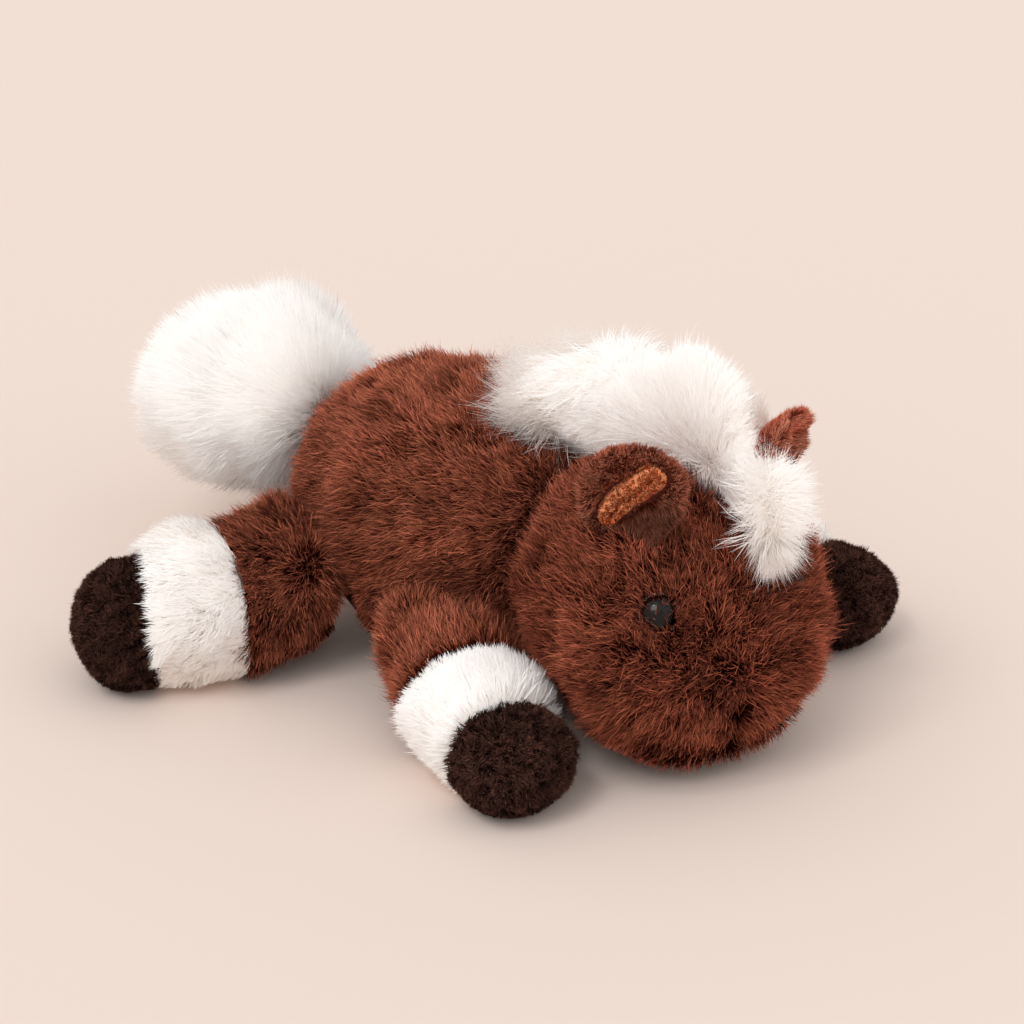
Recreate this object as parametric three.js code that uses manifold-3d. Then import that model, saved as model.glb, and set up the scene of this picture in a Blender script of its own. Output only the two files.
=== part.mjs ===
// Plush horse lying on its belly, legs splayed, chin on the floor. Millimetres, +X towards the head,
// +Y to the toy's left, +Z up. The origin is on the floor, under the middle of the torso's belly.
// Skins are as thick as the fabric with its pile, and the stuffing is a separate filling inside them.
import * as THREE from "three";
import { mergeVertices } from "three/addons/utils/BufferGeometryUtils.js";
import Module from "manifold-3d";

const wasm = await Module();
wasm.setup();

// Clearances
const clearance = 0.35; // between two pieces that lie against each other
const sinkDepth = 0.5; // how far a soft form is pressed flat where it lies on the floor
const overrun = 20; // how far a cutting tool reaches past what it cuts

// Pile depths, with the backing fabric
const bodyPile = 8;
const sockPile = 7;
const hoofPile = 5;
const seatSkin = 3; // the skin where a limb is sewn against the torso, with its pile pressed flat
const neckOpeningRadius = 12; // where torso and head are stuffed, before they are sewn together

// Torso
const torsoLength = 138;
const torsoWidth = 107;
const torsoHeight = 102;

// Head: a ball at the back, that swells forward into cheeks and a blunt muzzle
const headBallRadius = 49;
const headReach = 60; // from the ball's centre to the tip of the muzzle
const headSeatDepth = 34; // how far the ball is let into the torso
const muzzleDrop = 51.5; // from the ball's centre down to the chin
const cheekWidth = 90; // across the muzzle's cheeks
const headYaw = -20; // degrees, the head lies turned to its right

// Eyes, each with a shank through the skin and a lock washer behind it
const eyeRadius = 6.2;
const eyeRise = 5;
const eyeSinkDepth = 3.4; // how far the rim of the eye lies below the tips of the pile
const eyeFlange = 1;
const shankRadius = 2;
const shankRibRise = 0.5;
const washerRadius = 7;
const washerThickness = 1.4;

// Ears
const earWidth = 31;
const earHeight = 31;
const earThickness = 3.4;
const earCup = 7; // depth of the ear's hollow
const earRollRadius = 3.2; // the rolled base that is sewn into the head
const earRollWidth = 17;
const earFoldRoom = 2; // round an ear, so that it can fold
const liningThickness = 1.3;
const liningCrease = 1.1;

// Mane: a strip of long pile from the forehead over the poll to the withers
const maneRise = 28;
const maneWidth = 52;

// Tail: a short base sewn into the rump, in a brush of long pile
const tailRootRadius = 12;
const tailRootHeight = 66;
const tailRootInset = 8;
const tailBaseLength = 44;
const tailBaseTipRadius = 6;
const tailLength = 92;
const tailWidth = 84;
const tailHeight = 75;
const tailLap = 12; // how far the brush laps over the rump
const tailDrop = 6; // the brush hangs this far under its root

// Legs: one stuffed tube each, with a brown sleeve, a white sock and a dark hoof cap
const legSeatInset = 15; // from the torso's side to the centre of the ball by which a leg is let in
const legSeatRise = 11; // from the floor to the underside of that ball
const frontSeatForward = 19; // from the torso's middle
const hindSeatBack = 35;
const frontSeatRadius = 21.5;
const frontSleeveWidth = 49;
const frontSleeveHeight = 44;
const frontSockWidth = 52;
const frontSockHeight = 44;
const frontHoofWidth = 44;
const frontHoofHeight = 36;
const hindSeatRadius = 23.5;
const hindSleeveWidth = 57;
const hindSleeveHeight = 55;
const hindSockWidth = 59;
const hindSockHeight = 57;
const hindHoofWidth = 48;
const hindHoofHeight = 45;
const sockLength = 29;
const hoofLength = 27;
const frontRightReach = 97; // from the seat's centre to the toe
const frontLeftReach = 110;
const hindReach = 91;
const legBow = 10; // how far the middle of a leg's route is drawn aside
const frontLeftBow = 22;
const frontSizes = {
  seat: frontSeatRadius,
  sleeve: [frontSleeveWidth, frontSleeveHeight],
  sock: [frontSockWidth, frontSockHeight],
  hoof: [frontHoofWidth, frontHoofHeight],
};
const hindSizes = {
  seat: hindSeatRadius,
  sleeve: [hindSleeveWidth, hindSleeveHeight],
  sock: [hindSockWidth, hindSockHeight],
  hoof: [hindHoofWidth, hindHoofHeight],
};
const legs = [
  { name: "front_right", side: -1, front: true, reach: frontRightReach, heading: -26, bow: -legBow },
  { name: "front_left", side: 1, front: true, reach: frontLeftReach, heading: 26, bow: frontLeftBow },
  { name: "hind_right", side: -1, front: false, reach: hindReach, heading: -119, bow: legBow },
  { name: "hind_left", side: 1, front: false, reach: hindReach, heading: 122, bow: -legBow },
];

// How far each joint moves from the pose at rest, in degrees
const headTurns = [0, 25]; // to its left only, since the right foreleg is in the way
const tailWags = [-25, 25];
const earFolds = [-15, 15];
const frontSweep = 20; // backwards only, since the head is in the way in front
const hindSweep = 15;
const sweepStep = 10;

// Facet counts
const bodySides = 28;
const bodyRings = 14;
const fillingSides = 14;
const fillingRings = 8;
const headSeatSides = 24;
const legSides = 16;
const legRings = 4;
const legFillingSides = 10;
const seatSides = 16;
const hollowSides = 12;
const smallSides = 12;

const materials = {
  brown: { color: 0x6b3427, roughness: 0.95 },
  white: { color: 0xf4efe9, roughness: 0.95 },
  hoof: { color: 0x2c1c18, roughness: 0.95 },
  lining: { color: 0xb5683c, roughness: 0.9 },
  eye: { color: 0x0a0a0b, roughness: 0.1 },
  washer: { color: 0xdadad6, roughness: 0.5 },
  filling: { color: 0xf1efe8, roughness: 1 },
};

const degrees = THREE.MathUtils.degToRad;
const vec = (x, y, z) => new THREE.Vector3(x, y, z);
const up = vec(0, 0, 1);

// Solids and booleans

function solidOf(geometry) {
  const bare = geometry.clone();
  bare.deleteAttribute("normal");
  bare.deleteAttribute("uv");
  const merged = mergeVertices(bare, clearance / 1000);
  return new wasm.Manifold(
    new wasm.Mesh({
      numProp: 3,
      vertProperties: merged.attributes.position.array,
      triVerts: new Uint32Array(merged.index.array),
    }),
  );
}

function geometryOf(solid) {
  const mesh = solid.getMesh();
  const geometry = new THREE.BufferGeometry();
  const positions = new Float32Array(mesh.numVert * 3);
  for (let i = 0; i < mesh.numVert; i++) {
    for (let k = 0; k < 3; k++) positions[i * 3 + k] = mesh.vertProperties[i * mesh.numProp + k];
  }
  geometry.setAttribute("position", new THREE.BufferAttribute(positions, 3));
  geometry.setIndex(new THREE.BufferAttribute(new Uint32Array(mesh.triVerts), 1));
  geometry.computeVertexNormals();
  return geometry;
}

// A solid moved by a matrix.
const placed = (geometry, matrix) => solidOf(geometry.clone().applyMatrix4(matrix));

// The matrix that turns things about an axis through a point.
function turnAbout(point, axis, angle) {
  return new THREE.Matrix4()
    .makeTranslation(point.x, point.y, point.z)
    .multiply(new THREE.Matrix4().makeRotationAxis(axis, degrees(angle)))
    .multiply(new THREE.Matrix4().makeTranslation(-point.x, -point.y, -point.z));
}

// Cuts a solid by everything that a neighbour's geometry passes through while the solid turns.
function cutBySweep(solid, neighbour, pivot, axis, range) {
  const steps = Math.max(1, Math.ceil((range[1] - range[0]) / sweepStep));
  for (let i = 0; i <= steps; i++) {
    const angle = range[0] + ((range[1] - range[0]) * i) / steps;
    solid = solid.subtract(placed(neighbour, turnAbout(pivot, axis, -angle)));
  }
  return solid;
}

// A closed form through rings of points, with a point or a flat cap at each end.
function loft(rings, start, end) {
  const positions = [];
  const index = [];
  const sides = rings[0].length;
  for (const ring of rings) for (const p of ring) positions.push(p.x, p.y, p.z);
  for (let r = 0; r + 1 < rings.length; r++) {
    for (let i = 0; i < sides; i++) {
      const a = r * sides + i;
      const b = r * sides + ((i + 1) % sides);
      index.push(a, b, a + sides, b, b + sides, a + sides);
    }
  }
  const centreOf = (ring) =>
    ring.reduce((sum, p) => sum.add(p), vec(0, 0, 0)).divideScalar(ring.length);
  const first = start ?? centreOf(rings[0]);
  const last = end ?? centreOf(rings[rings.length - 1]);
  const firstIndex = positions.length / 3;
  positions.push(first.x, first.y, first.z, last.x, last.y, last.z);
  const lastRing = (rings.length - 1) * sides;
  for (let i = 0; i < sides; i++) {
    const next = (i + 1) % sides;
    index.push(firstIndex, next, i, firstIndex + 1, lastRing + i, lastRing + next);
  }
  const geometry = new THREE.BufferGeometry();
  geometry.setAttribute("position", new THREE.Float32BufferAttribute(positions, 3));
  geometry.setIndex(index);
  return outward(geometry);
}

// The same geometry with its faces turned outwards.
function outward(geometry) {
  const p = geometry.attributes.position;
  const faces = Array.from(geometry.index.array);
  let volume = 0;
  for (let i = 0; i < faces.length; i += 3) {
    const [a, b, c] = [0, 1, 2].map((k) => vec(0, 0, 0).fromBufferAttribute(p, faces[i + k]));
    volume += a.dot(b.cross(c));
  }
  if (volume < 0) {
    for (let i = 0; i < faces.length; i += 3) [faces[i + 1], faces[i + 2]] = [faces[i + 2], faces[i + 1]];
    geometry.setIndex(faces);
  }
  return geometry;
}

// A point of an oval section at an angle from its right side, with its own roundness above and below.
function oval(angle, halfWidth, upHeight, downHeight, upPower, downPower) {
  const [c, s] = [Math.cos(angle), Math.sin(angle)];
  const power = s >= 0 ? upPower : downPower;
  const height = s >= 0 ? upHeight : downHeight;
  return [
    halfWidth * Math.sign(c) * Math.abs(c) ** (2 / power),
    height * Math.sign(s) * Math.abs(s) ** (2 / power),
  ];
}

const turnOf = (i, sides) => (2 * Math.PI * i) / sides;
const between = (a, b, share) => a + (b - a) * share;

// A ball of the given radius. A pocket is made wider, so that its flat facets clear the ball in it.
const facetShare = (sides) => Math.cos(Math.PI / sides) ** 2;
function ball(centre, radius, sides) {
  return new THREE.SphereGeometry(radius, sides, sides / 2)
    .rotateX(Math.PI / 2)
    .translate(centre.x, centre.y, centre.z);
}
const pocketRadius = (radius, sides) => (radius + clearance) / facetShare(sides);

// A rod of the given radius from one point to another.
function rod(from, to, radius, sides) {
  const along = to.clone().sub(from);
  const turn = new THREE.Quaternion().setFromUnitVectors(vec(0, 1, 0), along.clone().normalize());
  const middle = from.clone().lerp(to, 0.5);
  return new THREE.CylinderGeometry(radius, radius, along.length(), sides)
    .applyQuaternion(turn)
    .translate(middle.x, middle.y, middle.z);
}

const floorSpan = torsoLength * 4;

// Everything under the floor, to cut flat what lies on it.
const underFloor = solidOf(
  new THREE.BoxGeometry(floorSpan, floorSpan, torsoHeight).translate(
    0,
    0,
    -torsoHeight / 2,
  ),
);
const onFloor = (solid) => solid.subtract(underFloor);

// Torso

const torsoCentre = vec(0, 0, torsoHeight / 2 - sinkDepth);
const torsoEndPower = 2.1; // how full the chest and rump are
const bellyPower = 2.5; // how flat the belly sags

// The torso's outer form, or the same form drawn in by an inset.
function torsoForm(inset, sides, rings) {
  const half = vec(torsoLength, torsoWidth, torsoHeight).divideScalar(2).addScalar(-inset);
  const sections = [];
  for (let r = 1; r < rings; r++) {
    const along = -Math.cos((Math.PI * r) / rings);
    const swell = (1 - Math.abs(along) ** torsoEndPower) ** (1 / torsoEndPower);
    const section = [];
    for (let i = 0; i < sides; i++) {
      const [y, z] = oval(turnOf(i, sides), half.y * swell, half.z * swell, half.z * swell, 2, bellyPower);
      section.push(vec(torsoCentre.x + half.x * along, y, torsoCentre.z + z));
    }
    sections.push(section);
  }
  const end = (way) => vec(torsoCentre.x + half.x * way, 0, torsoCentre.z);
  return loft(sections, end(-1), end(1));
}

// Head: its own frame has its origin in the ball's centre, +X to the muzzle, +Y to its left.

const headCentre = vec(
  torsoCentre.x + torsoLength / 2 - headSeatDepth + headBallRadius,
  0,
  muzzleDrop - sinkDepth,
);
const headMatrix = new THREE.Matrix4()
  .makeTranslation(headCentre.x, headCentre.y, headCentre.z)
  .multiply(new THREE.Matrix4().makeRotationZ(degrees(headYaw)));
const headWay = (x, y, z) => vec(x, y, z).transformDirection(headMatrix);

// Forward of the ball: how far along the reach, then half width, crown and chin as shares of their sizes.
const headShares = [
  [0, 1, 1, 1],
  [0.24, 0.965, 0.95, 0.985],
  [0.46, 0.92, 0.82, 0.98],
  [0.66, 0.83, 0.63, 0.92],
  [0.82, 0.7, 0.42, 0.81],
  [0.93, 0.5, 0.17, 0.64],
  [0.985, 0.25, -0.04, 0.46],
];
const muzzleTipShare = 0.25; // of the drop to the chin
const facePower = 2.15;

// Half width, crown, chin and roundness of the head's section at a place along it.
function headSection(along) {
  if (along <= 0) {
    const round = Math.sqrt(Math.max(0, headBallRadius ** 2 - along ** 2));
    return { width: round, crown: round, chin: round, power: 2 };
  }
  const share = along / headReach;
  const curve = [1, 2, 3].map((k) => {
    const points = headShares.map((row) => new THREE.Vector2(row[0], row[k]));
    return new THREE.SplineCurve(points);
  });
  let t = 0;
  for (let low = 0, high = 1, i = 0; i < 24; i++) {
    t = (low + high) / 2;
    if (curve[0].getPoint(t).x < share) low = t;
    else high = t;
  }
  const [w, crown, chin] = curve.map((c) => c.getPoint(t).y);
  const cheek = Math.min(1, share / headShares[2][0]);
  const side = between(headBallRadius, cheekWidth / 2 / headShares[3][1], cheek);
  return {
    width: side * w,
    crown: headBallRadius * crown,
    chin: between(headBallRadius, muzzleDrop, cheek) * chin,
    power: between(2, facePower, cheek),
  };
}

// A point of the head's surface, at a place along it and an angle up from its left side.
function headPoint(along, angle) {
  const { width, crown, chin, power } = headSection(along);
  const [y, z] = oval(angle, width, (crown + chin) / 2, (crown + chin) / 2, power, power);
  return vec(along, y, (crown - chin) / 2 + z);
}

// The head's outer form in its own frame, or the same form drawn in by an inset.
function headForm(inset, sides, rings) {
  const shrink = (size) => (size - inset) / size;
  const drawIn = (p) => {
    p.x *= shrink(p.x < 0 ? headBallRadius : headReach);
    p.y *= shrink(p.x < 0 ? headBallRadius : cheekWidth / 2);
    p.z *= shrink(headBallRadius);
    return p;
  };
  const sections = [];
  for (let r = 1; r < rings; r++) {
    const along = between(-headBallRadius, headReach, (1 - Math.cos((Math.PI * r) / rings)) / 2);
    const section = [];
    for (let i = 0; i < sides; i++) section.push(drawIn(headPoint(along, turnOf(i, sides))));
    sections.push(section);
  }
  const tip = vec(headReach, 0, -muzzleDrop * muzzleTipShare);
  return loft(sections, drawIn(vec(-headBallRadius, 0, 0)), drawIn(tip));
}

const surfaceStep = 0.02;

// Outward direction of the head's surface at a point, from two steps along the surface.
function headNormal(along, angle) {
  const a = headPoint(along, angle);
  const b = headPoint(along + headReach * surfaceStep, angle);
  const c = headPoint(along, angle + surfaceStep);
  return b.sub(a).cross(c.sub(a)).normalize().multiplyScalar(-1);
}

// Legs

// Three nested forms make each stuffed piece: its outside, the hollow in its skin, and its filling.
const pressed = [clearance, clearance + seatSkin, 2 * clearance + seatSkin]; // growth of what cuts them
const drawnIn = (pile) => [0, pile, pile + clearance];
const seatDrawn = drawnIn(seatSkin);

const hindRange = [-hindSweep, hindSweep];

// What one leg's pieces share: its seat, its route over the floor, and where sock and hoof begin.
function legPlan(leg) {
  const sizes = leg.front ? frontSizes : hindSizes;
  const seat = vec(
    torsoCentre.x + (leg.front ? frontSeatForward : -hindSeatBack),
    leg.side * (torsoWidth / 2 - legSeatInset),
    legSeatRise + sizes.seat,
  );
  const ahead = vec(Math.cos(degrees(leg.heading)), Math.sin(degrees(leg.heading)), 0);
  const aside = vec(-ahead.y, ahead.x, 0);
  const toe = seat.clone().addScaledVector(ahead, leg.reach);
  const bend = seat.clone().addScaledVector(ahead, leg.reach / 2).addScaledVector(aside, leg.bow);
  const hoofStart = 1 - hoofLength / leg.reach;
  return {
    sizes,
    seat,
    route: new THREE.QuadraticBezierCurve3(seat, bend, toe),
    reach: leg.reach,
    hoofStart,
    sockStart: hoofStart - sockLength / leg.reach,
    gapShare: clearance / leg.reach / 2,
    range: leg.front ? [Math.min(0, leg.side * frontSweep), Math.max(0, leg.side * frontSweep)] : hindRange,
  };
}

const sleeveSwellShare = 0.5;
const sockRoundShare = 0.06;
const sockTaperShare = 0.05;
const hoofShoulderShare = 0.3;
const hoofPower = 2.2;

// Half the width and height of a leg at a share of its route.
function legSize(plan, share) {
  const { sockStart, hoofStart, sizes } = plan;
  if (share <= sockStart) {
    const swell = Math.sin((Math.PI / 2) * Math.min(1, share / sockStart / sleeveSwellShare));
    return sizes.sleeve.map((size) => between(sizes.seat, size / 2, swell));
  }
  if (share <= hoofStart) {
    const place = (share - sockStart) / (hoofStart - sockStart);
    const round = (1 - sockRoundShare) + sockRoundShare * Math.sin(Math.PI * place) - sockTaperShare * place;
    return sizes.sock.map((size) => (size / 2) * round);
  }
  const place = (share - hoofStart) / (1 - hoofStart);
  const late = Math.max(0, (place - hoofShoulderShare) / (1 - hoofShoulderShare));
  const round = Math.sqrt(Math.max(0, 1 - late ** hoofPower));
  return sizes.hoof.map((size) => (size / 2) * round);
}

// A leg's section at a share of its route, drawn in by an inset, standing on the floor past its seat.
function legRing(plan, share, inset, sides) {
  const [halfWidth, halfHeight] = legSize(plan, share);
  const [, hoofHeight] = plan.sizes.hoof;
  const centre = plan.route.getPoint(share);
  const along = plan.route.getTangent(share);
  const aside = vec(-along.y, along.x, 0).normalize();
  const rise = between(legSeatRise + sinkDepth, 0, Math.sqrt(Math.min(1, share / plan.sockStart)));
  centre.z = rise + Math.max(halfHeight, hoofHeight / 2) - sinkDepth;
  const [w, h] = [halfWidth - inset, halfHeight - inset].map((x) => Math.max(x, clearance));
  const ring = [];
  for (let i = 0; i < sides; i++) {
    const [y, z] = oval(turnOf(i, sides), w, h, h, 2, hoofPower);
    ring.push(centre.clone().addScaledVector(aside, y).add(vec(0, 0, z)));
  }
  return ring;
}

// A stretch of a leg between two shares of its route, as a solid with flat ends or a round toe.
function legStretch(plan, from, to, inset, sides, rings) {
  const sections = [];
  const toe = to === 1;
  const last = toe ? 1 - inset / plan.reach : to;
  for (let r = 0; r < (toe ? rings : rings + 1); r++) {
    const spread = toe ? Math.sin((Math.PI / 2) * (r / rings)) : r / rings;
    const outer = between(from, to, spread);
    const ring = legRing(plan, outer, inset, sides);
    const back = plan.route.getPoint(between(from, last, spread)).sub(plan.route.getPoint(outer)).setZ(0);
    sections.push(ring.map((p) => p.add(back)));
  }
  const tip = plan.route.getPoint(last).setZ(plan.sizes.hoof[1] / 2 - sinkDepth);
  return loft(sections, null, toe ? tip : null);
}

// The root of a leg in one of its three nested forms: its stretch clear of torso and head, and its ball.
function legRoot(plan, stretch, k) {
  const [sides, rings] = k ? [fillingSides, fillingRings] : [bodySides, bodyRings];
  const torsoSide = torsoForm(-pressed[k], sides, rings);
  const seat = ball(plan.seat, plan.sizes.seat - seatDrawn[k], k ? hollowSides : seatSides);
  const head = ball(headCentre, pocketRadius(headBallRadius, headSeatSides) + pressed[k], headSeatSides);
  const root = cutBySweep(solidOf(stretch), torsoSide, plan.seat, up, plan.range).add(solidOf(seat));
  return cutBySweep(root, head, plan.seat, up, plan.range);
}

function makeLeg(leg) {
  const plan = legPlan(leg);
  const { sockStart, hoofStart, gapShare, sizes } = plan;
  const piece = (from, to, inset, rings) =>
    legStretch(plan, from, to, inset, inset > 0 ? legFillingSides : legSides, rings);
  const [, sleeveHollow] = drawnIn(bodyPile);
  const sleeve = onFloor(legRoot(plan, piece(0, sockStart - gapShare, 0, 5), 0)).subtract(
    legRoot(plan, piece(0, sockStart, sleeveHollow, legRings), 1),
  );
  const narrow = sockPile + (sizes.sock[0] - sizes.hoof[0]) / 2;
  const sockHollow = [[sockStart, sockPile], [hoofStart, narrow]].map(([share, pile]) =>
    legRing(plan, share, pile, legFillingSides),
  );
  const cheek = headForm(-clearance, bodySides, bodyRings).applyMatrix4(headMatrix);
  const sockSkin = onFloor(solidOf(piece(sockStart + gapShare, hoofStart - gapShare, 0, 3))).subtract(
    solidOf(loft(sockHollow, null, null)),
  );
  const sock = cutBySweep(sockSkin, cheek, headCentre, up, [-headTurns[1], -headTurns[0]]);
  const hoof = onFloor(solidOf(piece(hoofStart + gapShare, 1, 0, 5))).subtract(
    solidOf(piece(hoofStart + gapShare / 2, 1, hoofPile, 3)),
  );
  const filled = [];
  for (let r = 0; r <= legRings; r++) filled.push([(sockStart * r) / legRings, bodyPile]);
  filled.push([hoofStart, narrow], [hoofStart + 2 * gapShare, narrow]);
  const rings = filled.map(([share, pile]) =>
    legRing(plan, share, pile + clearance * 2, legFillingSides),
  );
  const toe = solidOf(piece(hoofStart + gapShare / 2, 1, hoofPile + 2 * clearance, 3));
  const filling = legRoot(plan, loft(rings, null, null), 2).add(toe);
  return { sleeve, sock, hoof, filling, plan };
}

// Torso, head and what is sewn to them

const legPieces = legs.map(makeLeg);

const tailRoot = vec(torsoCentre.x - torsoLength / 2 + tailRootInset, 0, tailRootHeight);

// The balls that are let into the torso, grown by an extra.
function seats(extra) {
  const list = [
    [headCentre, headBallRadius, headSeatSides],
    [tailRoot, tailRootRadius, hollowSides],
    ...legPieces.map(({ plan }) => [plan.seat, plan.sizes.seat, seatSides]),
  ];
  return list.map(([at, radius, sides]) => {
    const facets = extra > 0 ? hollowSides : sides;
    return solidOf(ball(at, pocketRadius(radius, facets) + extra, facets));
  });
}

const less = (solid, tools) => tools.reduce((left, tool) => left.subtract(tool), solid);

function makeTorso() {
  const outside = less(onFloor(solidOf(torsoForm(0, bodySides, bodyRings))), seats(0));
  const hollow = less(solidOf(torsoForm(bodyPile, fillingSides, fillingRings)), seats(seatSkin));
  const opening = solidOf(rod(torsoCentre, headCentre, neckOpeningRadius, smallSides));
  const skin = outside.subtract(hollow).subtract(opening);
  const inner = torsoForm(bodyPile + clearance, fillingSides, fillingRings);
  const filling = less(solidOf(inner), seats(seatSkin + clearance));
  return { skin, filling };
}

// Eyes

const eyeAlongShare = 0.77; // of the head's reach
const eyeAngle = 52; // degrees up round the head's section

function eyeFrame(side) {
  const angle = degrees(side > 0 ? eyeAngle : 180 - eyeAngle);
  const along = headReach * eyeAlongShare;
  const at = headPoint(along, angle).applyMatrix4(headMatrix);
  const out = headNormal(along, angle).transformDirection(headMatrix);
  const inwards = (depth) => at.clone().addScaledVector(out, -depth);
  return { out, inwards };
}

const eyeBackDepth = eyeSinkDepth + eyeFlange;
const washerDepth = bodyPile - clearance;
const shankEndDepth = washerDepth + washerThickness + 3 * shankRadius;

// The eye's outline, from the end of its shank to the top of its dome.
function eyeProfile() {
  const ribs = [];
  const ribStart = washerDepth + washerThickness + clearance;
  for (let i = 2; i >= 0; i--) {
    const depth = ribStart + (i * (shankEndDepth - ribStart)) / 3;
    ribs.push([shankRadius, -depth - shankRibRise * 2], [shankRadius + shankRibRise, -depth - shankRibRise]);
    ribs.push([shankRadius, -depth]);
  }
  const dome = [];
  for (let i = 0; i < 5; i++) {
    const turn = (Math.PI / 2) * (i / 5);
    dome.push([eyeRadius * Math.cos(turn), -eyeSinkDepth + eyeRise * Math.sin(turn)]);
  }
  return [
    [0, -shankEndDepth - shankRibRise * 2],
    ...ribs,
    [shankRadius, -eyeBackDepth],
    [eyeRadius - clearance, -eyeBackDepth],
    ...dome,
    [0, -eyeSinkDepth + eyeRise],
  ].map(([r, h]) => new THREE.Vector2(r, h));
}

// Stands a form made about +Y upright on an eye's outward direction.
function onEye(geometry, frame) {
  const turn = new THREE.Quaternion().setFromUnitVectors(vec(0, 1, 0), frame.out);
  const at = frame.inwards(0);
  return geometry.applyQuaternion(turn).translate(at.x, at.y, at.z);
}

function makeEye(side) {
  const frame = eyeFrame(side);
  const eye = solidOf(onEye(new THREE.LatheGeometry(eyeProfile(), smallSides), frame));
  const reach = (from, to, radius) =>
    solidOf(rod(frame.inwards(from), frame.inwards(to), radius, smallSides));
  const holeRadius = shankRadius + shankRibRise + clearance;
  const hole = reach(0, shankEndDepth + overrun, holeRadius);
  const boreRadius = (shankRadius + clearance) / facetShare(smallSides);
  const disc = reach(washerDepth, washerDepth + washerThickness, washerRadius);
  const washer = disc.subtract(reach(0, shankEndDepth, boreRadius));
  const socket = reach(-overrun, eyeBackDepth + clearance, (eyeRadius + clearance) / facetShare(smallSides));
  const bearing = reach(washerDepth - clearance, bodyPile + washerThickness, washerRadius + clearance);
  const nest = reach(0, shankEndDepth + 2 * shankRibRise + clearance, washerRadius + 2 * clearance);
  return { eye, washer, skinCuts: [socket, hole, bearing], fillingCuts: [nest] };
}

// Ears

const earAlongShare = 0.34; // of the head's reach
const earAngle = 60; // degrees up round the head's section
const earForwardLean = 0.27;
const earSideLean = 0.13; // both ears lean a little to the left
const earFacingShare = 0.62;
const earOutlineShares = [
  [0, 0.62],
  [0.2, 0.84],
  [0.45, 1],
  [0.68, 0.88],
  [0.86, 0.62],
  [1, 0.26],
];
const liningWidthShare = 0.6;
const liningStartShare = 0.1;
const liningEndShare = 0.86;
const earAcross = 3; // points from the middle of an ear's section to its edge
const earEdgeShare = 0.5; // of its thickness, at the edge
const stalkShares = { height: 1.6, radius: 0.55 }; // of the roll's radius

function earFrame(side) {
  const angle = degrees(side > 0 ? earAngle : 180 - earAngle);
  const along = headReach * earAlongShare;
  const out = headNormal(along, angle).transformDirection(headMatrix);
  const at = headPoint(along, angle).applyMatrix4(headMatrix).addScaledVector(out, -earRollRadius / 3);
  const rise = headWay(earForwardLean, earSideLean, 1).normalize();
  const facing = headWay(1, side * earFacingShare, 0);
  const across = rise.clone().cross(facing).normalize();
  facing.crossVectors(across, rise).normalize();
  return { at, rise, across, facing };
}

// A cupped leaf in an ear's frame: its start and end up the ear, its width and its two faces.
function earLeaf(frame, start, end, widthShare, backFace, frontFace) {
  const rings = [];
  for (const [place, wide] of earOutlineShares) {
    const height = between(start, end, place);
    const whole = (earWidth / 2) * outlineAt(height);
    const half = widthShare === 1 ? whole : (earWidth / 2) * wide * widthShare;
    const ring = [];
    for (const [face, way] of [[frontFace, 1], [backFace, -1]]) {
      for (let i = -earAcross; i <= earAcross; i++) {
        const u = (way * half * i) / earAcross;
        const cup = -earCup * (whole / (earWidth / 2)) * (1 - (u / whole) ** 2);
        const edge = Math.abs(i) === earAcross ? earEdgeShare : 1;
        const middle = (backFace(0) + frontFace(0)) / 2;
        const depth = between(middle, face(Math.abs(i) / earAcross), edge);
        ring.push(
          frame.at
            .clone()
            .addScaledVector(frame.across, u)
            .addScaledVector(frame.rise, earRollRadius + (earHeight - earRollRadius) * height)
            .addScaledVector(frame.facing, cup + depth + earCupShift),
        );
      }
    }
    rings.push(ring);
  }
  return loft(rings, null, null);
}

const earCupShift = (earCup * earOutlineShares[0][1] + earThickness) / 2;

// The ear's half width, as a share of its widest, at a share of its height.
function outlineAt(share) {
  const after = earOutlineShares.findIndex(([place]) => place >= share);
  if (after <= 0) return earOutlineShares[0][1];
  const [[p0, w0], [p1, w1]] = [earOutlineShares[after - 1], earOutlineShares[after]];
  return between(w0, w1, (share - p0) / (p1 - p0));
}

function makeEar(side) {
  const frame = earFrame(side);
  const end = (way) => frame.at.clone().addScaledVector(frame.across, (way * earRollWidth) / 2);
  const blade = earLeaf(frame, 0, 1, 1, () => -earThickness, () => 0);
  const head = headForm(-earFoldRoom, bodySides, bodyRings).applyMatrix4(headMatrix);
  const roll = solidOf(rod(end(-1), end(1), earRollRadius, smallSides));
  const stalkEnd = frame.at.clone().addScaledVector(frame.rise, earRollRadius * stalkShares.height);
  const stalk = solidOf(rod(frame.at, stalkEnd, earRollRadius * stalkShares.radius, smallSides));
  const ear = solidOf(blade).subtract(solidOf(head)).add(stalk).add(roll);
  const lobe = (x) => clearance + liningThickness + liningCrease * Math.sin(Math.PI * x);
  const lining = solidOf(
    earLeaf(frame, liningStartShare, liningEndShare, liningWidthShare, () => clearance, lobe),
  );
  const grown = (way) => end(way).addScaledVector(frame.across, way * clearance);
  const groove = solidOf(
    rod(grown(-1), grown(1), pocketRadius(earRollRadius, smallSides), smallSides),
  );
  return { ear, lining, groove, frame };
}

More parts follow.
